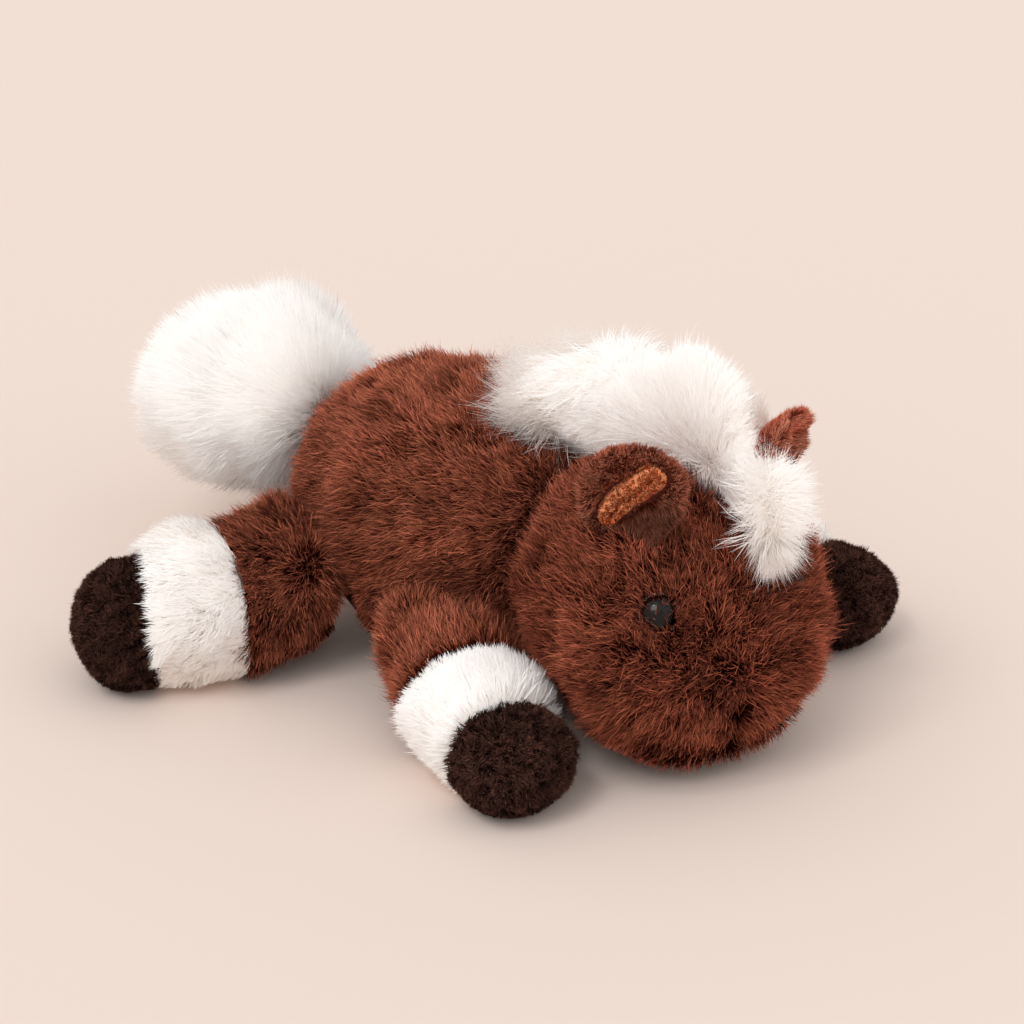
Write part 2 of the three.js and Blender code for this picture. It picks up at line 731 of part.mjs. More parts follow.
// What an ear needs room for: its leaf with the lining, grown on every side, and its rolled hem.
function earRoom({ frame }) {
  const front = liningThickness + liningCrease + earFoldRoom;
  const leaf = earLeaf(frame, 0, 1, 1, () => -earThickness - earFoldRoom, () => front);
  const grow = 1 + (2 * earFoldRoom) / earWidth;
  const middle = frame.at.clone().addScaledVector(frame.rise, earHeight / 2);
  leaf.translate(-middle.x, -middle.y, -middle.z);
  leaf.scale(grow, grow, grow).translate(middle.x, middle.y, middle.z);
  const end = (way) => frame.at.clone().addScaledVector(frame.across, way * (earRollWidth / 2 + clearance));
  return [leaf, rod(end(-1), end(1), pocketRadius(earRollRadius, smallSides), smallSides)];
}

// Mane: its route over the head in shares of the head's ball, with its half height and width as shares.
const maneShares = [
  { along: 0.98, side: 0.5, high: 0.55, rise: 0.25, width: 0.3 },
  { along: 0.74, side: 0.45, high: 0.85, rise: 0.5, width: 0.42 },
  { along: 0.24, side: 0.4, high: 1, rise: 0.85, width: 0.6 },
  { along: -0.27, side: 0.24, high: 1.06, rise: 0.95, width: 0.85 },
  { along: -0.8, side: 0.04, high: 1.03, rise: 0.75, width: 0.9 },
  { along: -1.3, side: -0.14, high: 1.02, rise: 0.3, width: 0.4 },
];
const maneEndShare = 0.01; // of its route, left off at each end
const maneClosePower = 6; // how late the mane draws in towards its ends
const maneCloseShare = 0.05;
const maneRings = 12;
const maneSides = 16;

function makeMane(ears) {
  const curve = (key) => new THREE.SplineCurve(maneShares.map((s, i) => new THREE.Vector2(i, s[key])));
  const curves = Object.fromEntries(Object.keys(maneShares[0]).map((key) => [key, curve(key)]));
  const at = (key, t) => curves[key].getPoint(t).y;
  const place = (t) => vec(at("along", t), at("side", t), at("high", t)).multiplyScalar(headBallRadius);
  const rings = [];
  for (let r = 0; r <= maneRings; r++) {
    const t = between(maneEndShare, 1 - maneEndShare, r / maneRings);
    const along = place(t + maneEndShare).sub(place(t - maneEndShare)).normalize();
    const across = vec(0, 1, 0).cross(along).normalize().cross(along).normalize();
    const rise = along.clone().cross(across).normalize();
    const late = Math.abs(2 * (r / maneRings) - 1) ** maneClosePower;
    const close = Math.sqrt(Math.max(maneCloseShare, 1 - late));
    const [high, wide] = [maneRise * at("rise", t) * close, (maneWidth / 2) * at("width", t) * close];
    const ring = [];
    for (let i = 0; i < maneSides; i++) {
      const [y, z] = oval(turnOf(i, maneSides), wide, high, high, 2, 2);
      ring.push(place(t).addScaledVector(across, y).addScaledVector(rise, z));
    }
    rings.push(ring);
  }
  const form = solidOf(loft(rings, null, null).applyMatrix4(headMatrix));
  const head = solidOf(headForm(-clearance, bodySides, bodyRings).applyMatrix4(headMatrix));
  const torso = torsoForm(-clearance * 2, bodySides, bodyRings);
  const clear = cutBySweep(form.subtract(head), torso, headCentre, up, headTurns);
  const cut = (solid, { frame }, room) => cutBySweep(solid, room, frame.at, frame.across, earFolds);
  return ears.reduce((solid, ear) => earRoom(ear).reduce((left, room) => cut(left, ear, room), solid), clear);
}

function makeHead(ears, eyes) {
  const form = (inset, sides, rings) => headForm(inset, sides, rings).applyMatrix4(headMatrix);
  const opening = solidOf(rod(headCentre, torsoCentre, neckOpeningRadius, smallSides));
  const outside = onFloor(solidOf(form(0, bodySides, bodyRings)));
  const skin = less(outside, [
    solidOf(form(bodyPile, fillingSides, fillingRings)),
    opening,
    ...ears.map((ear) => ear.groove),
    ...eyes.flatMap((eye) => eye.skinCuts),
  ]);
  const filling = less(
    solidOf(form(bodyPile + clearance, fillingSides, fillingRings)),
    eyes.flatMap((eye) => eye.fillingCuts),
  );
  return { skin, filling };
}

// Tail

const tailCoreShare = 0.8; // of the root's radius

function makeTail() {
  const tip = tailRoot.clone().add(vec(-tailBaseLength, 0, 0));
  const core = (extra) => {
    const [tipRadius, rootRadius] = [tailBaseTipRadius, tailRootRadius * tailCoreShare];
    const along = new THREE.CylinderGeometry(
      tipRadius + extra,
      rootRadius + extra,
      tailBaseLength + extra,
      smallSides,
    );
    const middle = tailRoot.clone().lerp(tip, 0.5).add(vec(-extra / 2, 0, 0));
    return along.rotateZ(Math.PI / 2).translate(middle.x, middle.y, middle.z);
  };
  const half = vec(tailLength, tailWidth, tailHeight).divideScalar(2);
  const start = torsoCentre.x - torsoLength / 2 + tailLap;
  const centre = vec(start - half.x, 0, tailRootHeight - tailDrop);
  const rings = [];
  for (let r = 1; r < fillingRings; r++) {
    const along = -Math.cos((Math.PI * r) / fillingRings);
    const swell = (1 - Math.abs(along) ** torsoEndPower) ** (1 / torsoEndPower);
    const ring = [];
    for (let i = 0; i < fillingSides; i++) {
      const [y, z] = oval(turnOf(i, fillingSides), half.y * swell, half.z * swell, half.z * swell, 2, 2);
      ring.push(vec(centre.x + half.x * along, y, centre.z + z));
    }
    rings.push(ring);
  }
  const end = (way) => centre.clone().add(vec(way * half.x, 0, 0));
  const brush = solidOf(loft(rings, end(-1), end(1)));
  const torso = torsoForm(-clearance * 2, bodySides, bodyRings);
  const free = (solid) => cutBySweep(solid, torso, tailRoot, up, tailWags);
  const base = free(solidOf(core(0))).add(solidOf(ball(tailRoot, tailRootRadius, seatSides)));
  const bore = solidOf(core(clearance)).add(
    solidOf(ball(tailRoot, pocketRadius(tailRootRadius, seatSides), seatSides)),
  );
  return { base, fur: free(brush).subtract(bore) };
}

// The toy, piece by piece

const horse = new THREE.Group();

function show(name, solid, look) {
  const mesh = new THREE.Mesh(geometryOf(solid), new THREE.MeshStandardMaterial(materials[look]));
  mesh.name = name;
  horse.add(mesh);
}

const torso = makeTorso();
const [rightEar, leftEar] = [makeEar(-1), makeEar(1)];
const [rightEye, leftEye] = [makeEye(-1), makeEye(1)];
const head = makeHead([rightEar, leftEar], [rightEye, leftEye]);
const tail = makeTail();

show("torso_skin", torso.skin, "brown");
show("torso_stuffing", torso.filling, "filling");
show("head_skin", head.skin, "brown");
show("head_stuffing", head.filling, "filling");
show("mane", makeMane([rightEar, leftEar]), "white");
show("right_eye", rightEye.eye, "eye");
show("left_eye", leftEye.eye, "eye");
show("right_eye_washer", rightEye.washer, "washer");
show("left_eye_washer", leftEye.washer, "washer");
show("right_ear", rightEar.ear, "brown");
show("left_ear", leftEar.ear, "brown");
show("right_ear_lining", rightEar.lining, "lining");
show("left_ear_lining", leftEar.lining, "lining");
show("tail_base", tail.base, "white");
show("tail_fur", tail.fur, "white");
legs.forEach(({ name }, i) => {
  show(name + "_leg_sleeve", legPieces[i].sleeve, "brown");
  show(name + "_sock", legPieces[i].sock, "white");
  show(name + "_hoof", legPieces[i].hoof, "hoof");
  show(name + "_leg_stuffing", legPieces[i].filling, "filling");
});

export default horse;
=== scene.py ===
"""Plush horse that lies on its belly: skins, long pile, ears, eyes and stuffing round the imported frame.

Lengths are metres, +X runs towards the head, +Y to the toy's left and +Z up. Every soft form is a closed
surface over two shares, along its length and around it, and its pile is made of real tapered strands.
"""

import logging
import math
from dataclasses import dataclass, field, replace
from enum import Enum
from typing import Callable, Optional, Sequence

import bpy
import numpy as np
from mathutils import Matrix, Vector


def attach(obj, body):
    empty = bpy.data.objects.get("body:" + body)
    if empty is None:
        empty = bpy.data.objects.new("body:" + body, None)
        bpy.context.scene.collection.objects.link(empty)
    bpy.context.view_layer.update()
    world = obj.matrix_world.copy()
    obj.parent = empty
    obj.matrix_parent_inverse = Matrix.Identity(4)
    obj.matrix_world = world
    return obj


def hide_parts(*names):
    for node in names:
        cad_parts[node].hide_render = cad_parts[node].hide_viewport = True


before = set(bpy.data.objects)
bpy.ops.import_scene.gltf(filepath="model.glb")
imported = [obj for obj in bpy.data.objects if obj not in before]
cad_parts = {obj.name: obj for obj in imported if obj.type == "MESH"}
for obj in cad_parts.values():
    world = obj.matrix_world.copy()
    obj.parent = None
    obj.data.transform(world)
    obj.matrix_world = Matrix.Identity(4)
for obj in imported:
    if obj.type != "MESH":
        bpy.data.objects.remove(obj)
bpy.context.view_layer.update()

Array = np.ndarray
Mask = Callable[[Array, Array], Array]
Socket = bpy.types.NodeSocket
Colour = tuple

log = logging.getLogger("plush_horse")

MM = 0.001
UP = np.array([0.0, 0.0, 1.0])
NO_LENGTH = 1e-12
TINY = 1e-6
FULL_TURN = 2 * np.pi
SINK = 0.5 * MM
FLOOR_GAP = 0.3 * MM
SEAM = 1e-4
SEWN_DEPTH = 6 * MM
CROWD = 2 * MM
SKIN_FILL = 0.85
FILLING_FILL = 0.8
PIECE_TRIANGLES = 190_000
PILE_MAP = "OFBake"
MAP_STEP = 0.005


class Slot(Enum):
    """Material slots of the pieces."""

    BROWN = "brown_plush"
    WHITE = "white_plush"
    LONG = "white_long_pile"
    HOOF = "hoof_plush"
    VELOUR = "ear_velour"
    EYE = "black_eye"
    WASHER = "eye_washer"
    FILLING = "polyester_filling"


def unit(vectors: Array) -> Array:
    """Vectors scaled to length one."""
    return vectors / np.maximum(np.linalg.norm(vectors, axis=-1, keepdims=True), NO_LENGTH)


def ease(value: Array, low: float, high: float) -> Array:
    """A smooth step from 0 at low to 1 at high."""
    share = np.clip((value - low) / (high - low), 0, 1)
    return share * share * (3 - 2 * share)


def mix(a: Array, b: Array, share: Array) -> Array:
    """The value between a and b at a share of the way."""
    return a + (b - a) * share


def bell(value: Array, width: float, power: int = 2) -> Array:
    """A bump of 1 at 0 that falls off over a width, squarer at a higher power."""
    return np.exp(-(value / width) ** power)


def dot(a: Array, b: Array) -> Array:
    """Row by row dot product that keeps its last axis."""
    return (a * b).sum(-1, keepdims=True)


def flat_to(vectors: Array, normals: Array) -> Array:
    """Vectors laid into the planes that stand square to the normals."""
    return unit(vectors - normals * dot(vectors, normals))


def distance(points: Array, at: Array) -> Array:
    """Distances of points from one place."""
    return np.linalg.norm(points - at, axis=-1)


def nearest(points: Array, others: Array) -> Array:
    """Distances of points from the nearest of other points."""
    return np.linalg.norm(points[:, None] - others[None], axis=-1).min(1)


def signed_power(value: Array, power: float) -> Array:
    """A power of the size of a value, with the value's sign."""
    return np.sign(value) * np.abs(value) ** power


def swell(way: Array, power: float, least: float = 0.0) -> Array:
    """The width of a superellipse at places from -1 to 1 along it."""
    return (1 - np.abs(way) ** power).clip(least) ** (1 / power)


def oval(turn: Array, wide: Array, tall: Array, power: Array, under_power: Array) -> tuple:
    """Points of an oval with its own roundness above and below.

    Args:
        turn: Angle round the oval, from its left side, in radians.
        wide: Half its width.
        tall: Half its height.
        power: 2 for an ellipse, more for a fuller top.
        under_power: The same for the underside.

    Returns:
        The sideways and upward places.
    """
    cosine, sine = np.cos(turn), np.sin(turn)
    share = 2 / np.where(sine >= 0, power, under_power)
    return wide * signed_power(cosine, share), tall * signed_power(sine, share)


class Waves:
    """Smooth random values in space, made of sine waves that run every way."""

    count = 14
    lengths = (0.6, 1.6)

    def __init__(self, length: float, seed: int) -> None:
        """Draws the waves.

        Args:
            length: Their middle length in metres.
            seed: Seed of the draw.
        """
        draw = np.random.default_rng(seed)
        way = unit(draw.normal(size=(self.count, 3)))
        self.waves = way * (FULL_TURN / length) * draw.uniform(*self.lengths, (self.count, 1))
        self.phases = draw.uniform(0, FULL_TURN, self.count)

    def __call__(self, points: Array) -> Array:
        """Values of about unit spread at the points."""
        return np.sin(points @ self.waves.T + self.phases).sum(-1) * math.sqrt(2 / len(self.phases))


# Masks, which give a value or a direction for points and their normals


def level(value: float) -> Mask:
    """A mask with one value everywhere.

    Args:
        value: The value.

    Returns:
        The mask.
    """
    def even(points: Array, normals: Array) -> Array:
        """The value, once for each point."""
        return np.full(len(points), value)

    return even


def directed(*way: float) -> Mask:
    """A comb that draws every strand the same way.

    Args:
        *way: Its three components.

    Returns:
        The comb.
    """
    def comb(points: Array, normals: Array) -> Array:
        """The way, once for each point."""
        return np.broadcast_to(np.array(way, float), points.shape)

    return comb


def outside(margin: float, *forms: "Form") -> Mask:
    """A mask of the points that lie in none of some forms, deeper than a margin.

    Args:
        margin: The least depth.
        *forms: The forms.

    Returns:
        The mask.
    """
    def keep(points: Array, normals: Array) -> Array:
        """0 in the forms, else 1."""
        return 1.0 - np.any([form.inside(points, margin) for form in forms], 0)

    return keep


def crowded(spread: float, *forms: "Form") -> Mask:
    """A mask that rises from 0 to 1 towards and into some forms, where two pieces press their pile.

    Args:
        spread: Distance over which it rises.
        *forms: The forms.

    Returns:
        The mask.
    """
    margins = (-2 * spread, -spread, 0, spread)

    def near(points: Array, normals: Array) -> Array:
        """How crowded points are."""
        return np.mean([np.max([form.inside(points, margin) for form in forms], 0) for margin in margins], 0)

    return near


# Finishes

DISPLAY_FOOT = 0.04045
DISPLAY_SLOPE = 12.92
DISPLAY_SHIFT = 0.055
DISPLAY_POWER = 2.4
BLACK = (0.0, 0.0, 0.0, 1.0)
WHITE = (1.0, 1.0, 1.0, 1.0)


def linear(*display: int) -> Colour:
    """A display colour of 0 to 255 as the linear colour that shaders take.

    Args:
        *display: Red, green and blue.

    Returns:
        The linear colour, opaque.
    """
    values = [part / 255 for part in display]
    return (*(((value + DISPLAY_SHIFT) / (1 + DISPLAY_SHIFT)) ** DISPLAY_POWER if value > DISPLAY_FOOT
              else value / DISPLAY_SLOPE for value in values), 1.0)


class Nodes:
    """Short ways to add nodes to a material, the world or a node group."""

    def __init__(self, tree: bpy.types.NodeTree) -> None:
        """Starts on an empty tree."""
        self.tree = tree
        tree.nodes.clear()

    def feed(self, socket: Socket, value: object) -> None:
        """Joins an output to an input, or sets the input to a plain value.

        Args:
            socket: The input.
            value: An output or a plain value.
        """
        if isinstance(value, bpy.types.NodeSocket):
            self.tree.links.new(value, socket)
        else:
            socket.default_value = value

    def add(self, kind: str, inputs: Optional[dict] = None, **settings: object) -> bpy.types.Node:
        """Adds a node.

        Args:
            kind: Its type.
            inputs: What feeds its inputs, by their names or numbers.
            **settings: Its properties.

        Returns:
            The node.
        """
        node = self.tree.nodes.new(kind)
        for name, value in settings.items():
            setattr(node, name, value)
        for key, value in (inputs or {}).items():
            self.feed(node.inputs[key], value)
        return node

    def maths(self, operation: str, first: object, second: object, clamp: bool = False) -> Socket:
        """The output of a maths node on sockets or plain numbers."""
        node = self.add("ShaderNodeMath", {0: first, 1: second}, operation=operation, use_clamp=clamp)
        return node.outputs[0]

    def blend(self, share: object, first: object, second: object, how: str = "MIX") -> Socket:
        """The output of a colour mix of sockets or plain colours.

        Args:
            share: Share of the second colour.
            first: The first colour.
            second: The second colour.
            how: Kind of mix.

        Returns:
            The output.
        """
        node = self.add("ShaderNodeMix", {0: share}, data_type="RGBA", blend_type=how)
        for key, value in ((6, first), (7, second)):
            self.feed(node.inputs[key], value)
        return node.outputs[2]

    def both(self, share: Socket, first: Socket, second: Socket) -> Socket:
        """The output of a mix of two shaders."""
        return self.add("ShaderNodeMixShader", {0: share, 1: first, 2: second}).outputs[0]


def group(name: str, inputs: dict, outputs: dict, build: Callable) -> bpy.types.NodeTree:
    """Makes a shader node group once.

    Args:
        name: The group's name.
        inputs: Input names with their default values; a tuple is a colour.
        outputs: Output names with their socket types.
        build: Function that fills the group, given its nodes, its input node and its output node.

    Returns:
        The node group.
    """
    known = bpy.data.node_groups.get(name)
    if known:
        return known
    tree = bpy.data.node_groups.new(name, "ShaderNodeTree")
    for key, value in inputs.items():
        kind = "NodeSocketColor" if isinstance(value, tuple) else "NodeSocketFloat"
        socket = tree.interface.new_socket(key, in_out="INPUT", socket_type=kind)
        socket.default_value = value
    for key, kind in outputs.items():
        tree.interface.new_socket(key, in_out="OUTPUT", socket_type=kind)
    nodes = Nodes(tree)
    build(nodes, nodes.add("NodeGroupInput"), nodes.add("NodeGroupOutput"))
    return tree


def pile_group() -> bpy.types.NodeTree:
    """Colour along a strand, from its root, darkened as painted shade deep in the pile, to its tip, with a
    tint of its own.

    Returns:
        The node group.
    """
    inputs = {"Root": BLACK, "Middle": BLACK, "Tip": WHITE, "Dark": 0.6, "Light": 1.3}

    def build(nodes: Nodes, given: bpy.types.Node, result: bpy.types.Node) -> None:
        """Blends root, middle and tip by height, and tints them by the strand's own share.

        Args:
            nodes: The group's nodes.
            given: Its input node.
            result: Its output node.
        """
        place = nodes.add("ShaderNodeUVMap", uv_map=PILE_MAP)
        parts = nodes.add("ShaderNodeSeparateXYZ", {0: place.outputs[0]}).outputs
        doubled = nodes.maths("MULTIPLY", parts["Y"], 2.0)
        low = nodes.maths("MULTIPLY", parts["Y"], 2.0, clamp=True)
        high = nodes.maths("SUBTRACT", doubled, 1.0, clamp=True)
        lower = nodes.blend(low, given.outputs["Root"], given.outputs["Middle"])
        whole = nodes.blend(high, lower, given.outputs["Tip"])
        span = nodes.maths("SUBTRACT", given.outputs["Light"], given.outputs["Dark"])
        tint = nodes.maths("ADD", given.outputs["Dark"], nodes.maths("MULTIPLY", parts["X"], span))
        grey = nodes.add("ShaderNodeCombineColor", {0: tint, 1: tint, 2: tint})
        nodes.feed(result.inputs["Color"], nodes.blend(1.0, whole, grey.outputs[0], "MULTIPLY"))

    return group("Pile colour", inputs, {"Color": "NodeSocketColor"}, build)


def mottle_group() -> bpy.types.NodeTree:
    """Two colours mottled in space, with a height that follows the mottle.

    Returns:
        The node group.
    """
    inputs = {"First": BLACK, "Second": WHITE, "Scale": 400.0, "Contrast": 1.0}
    detail, roughness, middle, spread = 6.0, 0.6, 0.5, 3.0

    def build(nodes: Nodes, given: bpy.types.Node, result: bpy.types.Node) -> None:
        """Spreads a fine noise and blends the two colours by it.

        Args:
            nodes: The group's nodes.
            given: Its input node.
            result: Its output node.
        """
        place = nodes.add("ShaderNodeTexCoord").outputs["Object"]
        noise = nodes.add("ShaderNodeTexNoise", {
            "Vector": place, "Scale": given.outputs["Scale"], "Detail": detail, "Roughness": roughness,
        })
        centred = nodes.maths("SUBTRACT", noise.outputs["Fac"], middle)
        wide = nodes.maths("MULTIPLY", centred, nodes.maths("MULTIPLY", given.outputs["Contrast"], spread))
        share = nodes.maths("ADD", wide, middle, clamp=True)
        colour = nodes.blend(share, given.outputs["First"], given.outputs["Second"])
        nodes.feed(result.inputs["Color"], colour)
        nodes.feed(result.inputs["Height"], share)

    return group("Fabric mottle", inputs, {"Color": "NodeSocketColor", "Height": "NodeSocketFloat"}, build)


class Finish:
    """A material that is made once and then shared."""

    name: str

    def material(self) -> bpy.types.Material:
        """The material, made at its first use.

        Returns:
            The material.
        """
        known = bpy.data.materials.get(self.name)
        if known:
            return known
        made = bpy.data.materials.new(self.name)
        made.use_nodes = True
        nodes = Nodes(made.node_tree)
        nodes.add("ShaderNodeOutputMaterial", {0: self.surface(nodes)})
        return made

    def surface(self, nodes: Nodes) -> Socket:
        """The shader that the material shows."""
        raise NotImplementedError


@dataclass(frozen=True)
class PileFinish(Finish):
    """Strands of pile, coloured from root to tip, each with its own tint."""

    name: str
    root: Colour
    middle: Colour
    tip: Colour
    dark: float
    light: float
    roughness: float = 0.6
    specular: float = 0.0
    sheen: float = 0.0
    sheen_tint: Colour = WHITE
    sheen_roughness: float = 0.35
    lit_through: float = 0.0

    def surface(self, nodes: Nodes) -> Socket:
        """Feeds the strand colour to the surface, and lets a pale strand show the light on its other side.

        Args:
            nodes: The material's nodes.

        Returns:
            The shader's output.
        """
        given = {"Root": self.root, "Middle": self.middle, "Tip": self.tip}
        given |= {"Dark": self.dark, "Light": self.light}
        colour = nodes.add("ShaderNodeGroup", given, node_tree=pile_group()).outputs["Color"]
        front = nodes.add("ShaderNodeBsdfPrincipled", {
            "Base Color": colour, "Roughness": self.roughness, "Specular IOR Level": self.specular,
            "Sheen Weight": self.sheen, "Sheen Roughness": self.sheen_roughness,
            "Sheen Tint": self.sheen_tint,
        }).outputs[0]
        if not self.lit_through:
            return front
        behind = nodes.add("ShaderNodeBsdfTranslucent", {"Color": colour}).outputs[0]
        backfacing = nodes.add("ShaderNodeNewGeometry").outputs["Backfacing"]
        return nodes.both(nodes.maths("MULTIPLY", backfacing, self.lit_through), front, behind)


@dataclass(frozen=True)
class ClothFinish(Finish):
    """Mottled cloth, such as a backing, velour or filling, with a fine relief."""

    name: str
    first: Colour
    second: Colour
    scale: float = 500.0
    relief: float = 0.4 * MM
    contrast: float = 1.0
    roughness: float = 0.95
    specular: float = 0.05
    strength: float = 0.8

    def surface(self, nodes: Nodes) -> Socket:
        """Feeds the mottle to colour and relief.

        Args:
            nodes: The material's nodes.

        Returns:
            The shader's output.
        """
        given = {"First": self.first, "Second": self.second, "Scale": self.scale, "Contrast": self.contrast}
        cloth = nodes.add("ShaderNodeGroup", given, node_tree=mottle_group()).outputs
        bump = nodes.add("ShaderNodeBump", {"Strength": self.strength, "Distance": self.relief,
                                            "Height": cloth["Height"]})
        return nodes.add("ShaderNodeBsdfPrincipled", {
            "Base Color": cloth["Color"], "Normal": bump.outputs[0], "Roughness": self.roughness,
            "Specular IOR Level": self.specular,
        }).outputs[0]


@dataclass(frozen=True)
class GlossFinish(Finish):
    """Moulded plastic with a trace of dust."""

    name: str
    first: Colour
    second: Colour
    roughness: float
    specular: float = 0.5
    scale: float = 900.0
    contrast: float = 0.8

    def surface(self, nodes: Nodes) -> Socket:
        """Feeds a faint mottle to the colour and sets the gloss.

        Args:
            nodes: The material's nodes.

        Returns:
            The shader's output.
        """
        given = {"First": self.first, "Second": self.second, "Scale": self.scale, "Contrast": self.contrast}
        cloth = nodes.add("ShaderNodeGroup", given, node_tree=mottle_group()).outputs
        return nodes.add("ShaderNodeBsdfPrincipled", {
            "Base Color": cloth["Color"], "Roughness": self.roughness, "Specular IOR Level": self.specular,
        }).outputs[0]


# Each pile's root colour is darker than its tip: painted shade deep in the pile.
BROWN_PILE = PileFinish("brown_pile", linear(16, 2, 1), linear(74, 23, 12), linear(214, 126, 96), 0.4, 1.7,
                        sheen=0.15, sheen_tint=linear(220, 120, 90))
# The face pile is the same fabric as BROWN_PILE, with a darker root and middle as painted shade on the face.
SHADED_FACE_PILE = replace(BROWN_PILE, name="brown_face_pile_shaded", root=linear(10, 1, 0), middle=linear(54, 13, 6),
                    tip=linear(206, 116, 88))
EAR_PILE = PileFinish("brown_ear_pile", linear(104, 40, 26), linear(184, 100, 74), linear(236, 164, 136),
                      0.25, 1.6, sheen=0.1, sheen_tint=linear(236, 160, 130))
WHITE_PILE = PileFinish("white_pile", linear(253, 249, 245), linear(255, 253, 251), linear(255, 254, 253),
                        0.985, 1.0, roughness=0.7, specular=0.2, lit_through=0.5)
LONG_PILE = replace(WHITE_PILE, name="long_pile", root=linear(253, 249, 244), dark=0.99)
HOOF_PILE = PileFinish("hoof_pile", linear(14, 5, 3), linear(46, 25, 19), linear(112, 76, 64), 0.5, 1.5,
                       roughness=0.7, specular=0.05, sheen=0.1, sheen_tint=linear(200, 150, 132))
VELOUR_PILE = PileFinish("velour_pile", linear(206, 118, 72), linear(238, 152, 102), linear(252, 190, 142),
                         0.5, 1.5)
# BROWN_CLOTH and HOOF_CLOTH are as dark as their piles' roots: painted shade under the pile.
BROWN_CLOTH = ClothFinish("brown_backing", linear(20, 5, 3), linear(44, 14, 8))
WHITE_CLOTH = ClothFinish("white_backing", linear(252, 246, 240), linear(254, 251, 248))
HOOF_CLOTH = ClothFinish("hoof_backing", linear(12, 6, 4), linear(34, 20, 15))
EAR_CLOTH = ClothFinish("ear_backing", linear(84, 38, 27), linear(118, 62, 48), relief=0.3 * MM)
VELOUR_CLOTH = ClothFinish("velour_backing", linear(120, 60, 34), linear(172, 98, 62), 1400.0,
                           0.35 * MM, 1.8)
FILLING_CLOTH = ClothFinish("filling_fibre", linear(214, 212, 206), linear(246, 246, 243), 260.0, 1.5 * MM)
EYE_GLOSS = GlossFinish("eye_gloss", linear(1, 1, 1), linear(3, 3, 4), 0.03, 0.3)
WASHER_PLASTIC = GlossFinish("washer_plastic", linear(208, 208, 204), linear(226, 226, 222), 0.4)


# Meshes


def show(name: str, data: bpy.types.ID) -> bpy.types.Object:
    """Adds an object to the scene.

    Args:
        name: Its name.
        data: Its mesh, lamp or camera.

    Returns:
        The new object.
    """
    piece = bpy.data.objects.new(name, data)
    bpy.context.scene.collection.objects.link(piece)
    return piece


def make_mesh(name: str, points: Array, faces: Sequence, material: bpy.types.Material) -> bpy.types.Object:
    """Adds a smooth mesh object.

    Args:
        name: The piece's name.
        points: Its vertices, one row each.
        faces: Vertex numbers of each face.
        material: Its material.

    Returns:
        The new object.
    """
    mesh = bpy.data.meshes.new(name)
    mesh.from_pydata([tuple(map(float, p)) for p in points], [], [tuple(map(int, f)) for f in faces])
    mesh.polygons.foreach_set("use_smooth", np.ones(len(mesh.polygons), bool))
    mesh.materials.append(material)
    mesh.update()
    return show(name, mesh)


def ring_faces(rings: int, sides: int) -> list:
    """Faces that close rings of points, followed by one point at each end, into a skin.

    Args:
        rings: How many rings there are.
        sides: How many points each ring has.

    Returns:
        Vertex numbers of each face.
    """
    number = np.arange(rings * sides).reshape(rings, sides)
    after = np.roll(number, -1, 1)
    sheets = np.stack([number[:-1], number[1:], after[1:], after[:-1]], -1).reshape(-1, 4)
    start = rings * sides
    caps = [(start, a, b) for a, b in zip(number[0], after[0])]
    caps += [(start + 1, b, a) for a, b in zip(number[-1], after[-1])]
    return [*sheets.tolist(), *caps]


@dataclass(frozen=True)
class Place:
    """Where a piece belongs: its name, its body, its slot and the nodes it stands for."""

    name: str
    body: str
    slot: Slot
    nodes: tuple = ()
    fill: Optional[float] = None

    def seat(self, piece: bpy.types.Object) -> None:
        """Seats a piece on its body, hides the nodes that it stands for, and logs it.

        Args:
            piece: The piece.
        """
        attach(piece, self.body)
        if self.nodes:
            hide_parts(*self.nodes)
        log.info("%s rides on %s, %d faces", piece.name, self.body, len(piece.data.polygons))


# Forms


class Form:
    """A closed outer surface over two shares: along from its start to its end, and around it."""

    outward = -1.0
    step = 2e-3

    def point(self, along: Array, around: Array) -> Array:
        """Points of the surface."""
        raise NotImplementedError

    def inside(self, points: Array, margin: float) -> Array:
        """Whether points lie in the form, deeper than a margin."""
        raise NotImplementedError

    def patch(self, along: Array, around: Array) -> tuple:
        """Points and outward normals of the surface.

        Args:
            along: Shares of its length.
            around: Shares of the way round it.

        Returns:
            The points and the normals.
        """
        inner = np.clip(along, 2 * self.step, 1 - 2 * self.step)
        lengthwise = self.point(inner + self.step, around) - self.point(inner - self.step, around)
        crosswise = self.point(inner, around + self.step) - self.point(inner, around - self.step)
        return self.point(inner, around), unit(np.cross(lengthwise, crosswise)) * self.outward


@dataclass
class EggForm(Form):
    """A superellipse that lies along +X, with a roundness of its own below."""

    centre: tuple
    length: float
    width: float
    height: float
    end_power: float
    belly_power: float

    def __post_init__(self) -> None:
        """Works out the half sizes."""
        self.half = np.array([self.length, self.width, self.height]) / 2

    def point(self, along: Array, around: Array) -> Array:
        """Points from its rear end to its front end.

        Args:
            along: Shares of its length.
            around: Shares of the way round it.

        Returns:
            The points.
        """
        way = -np.cos(np.pi * along)
        size = swell(way, self.end_power)
        side, rise = oval(FULL_TURN * around, self.half[1] * size, self.half[2] * size, 2, self.belly_power)
        return np.array(self.centre) + np.stack([self.half[0] * way, side, rise], -1)


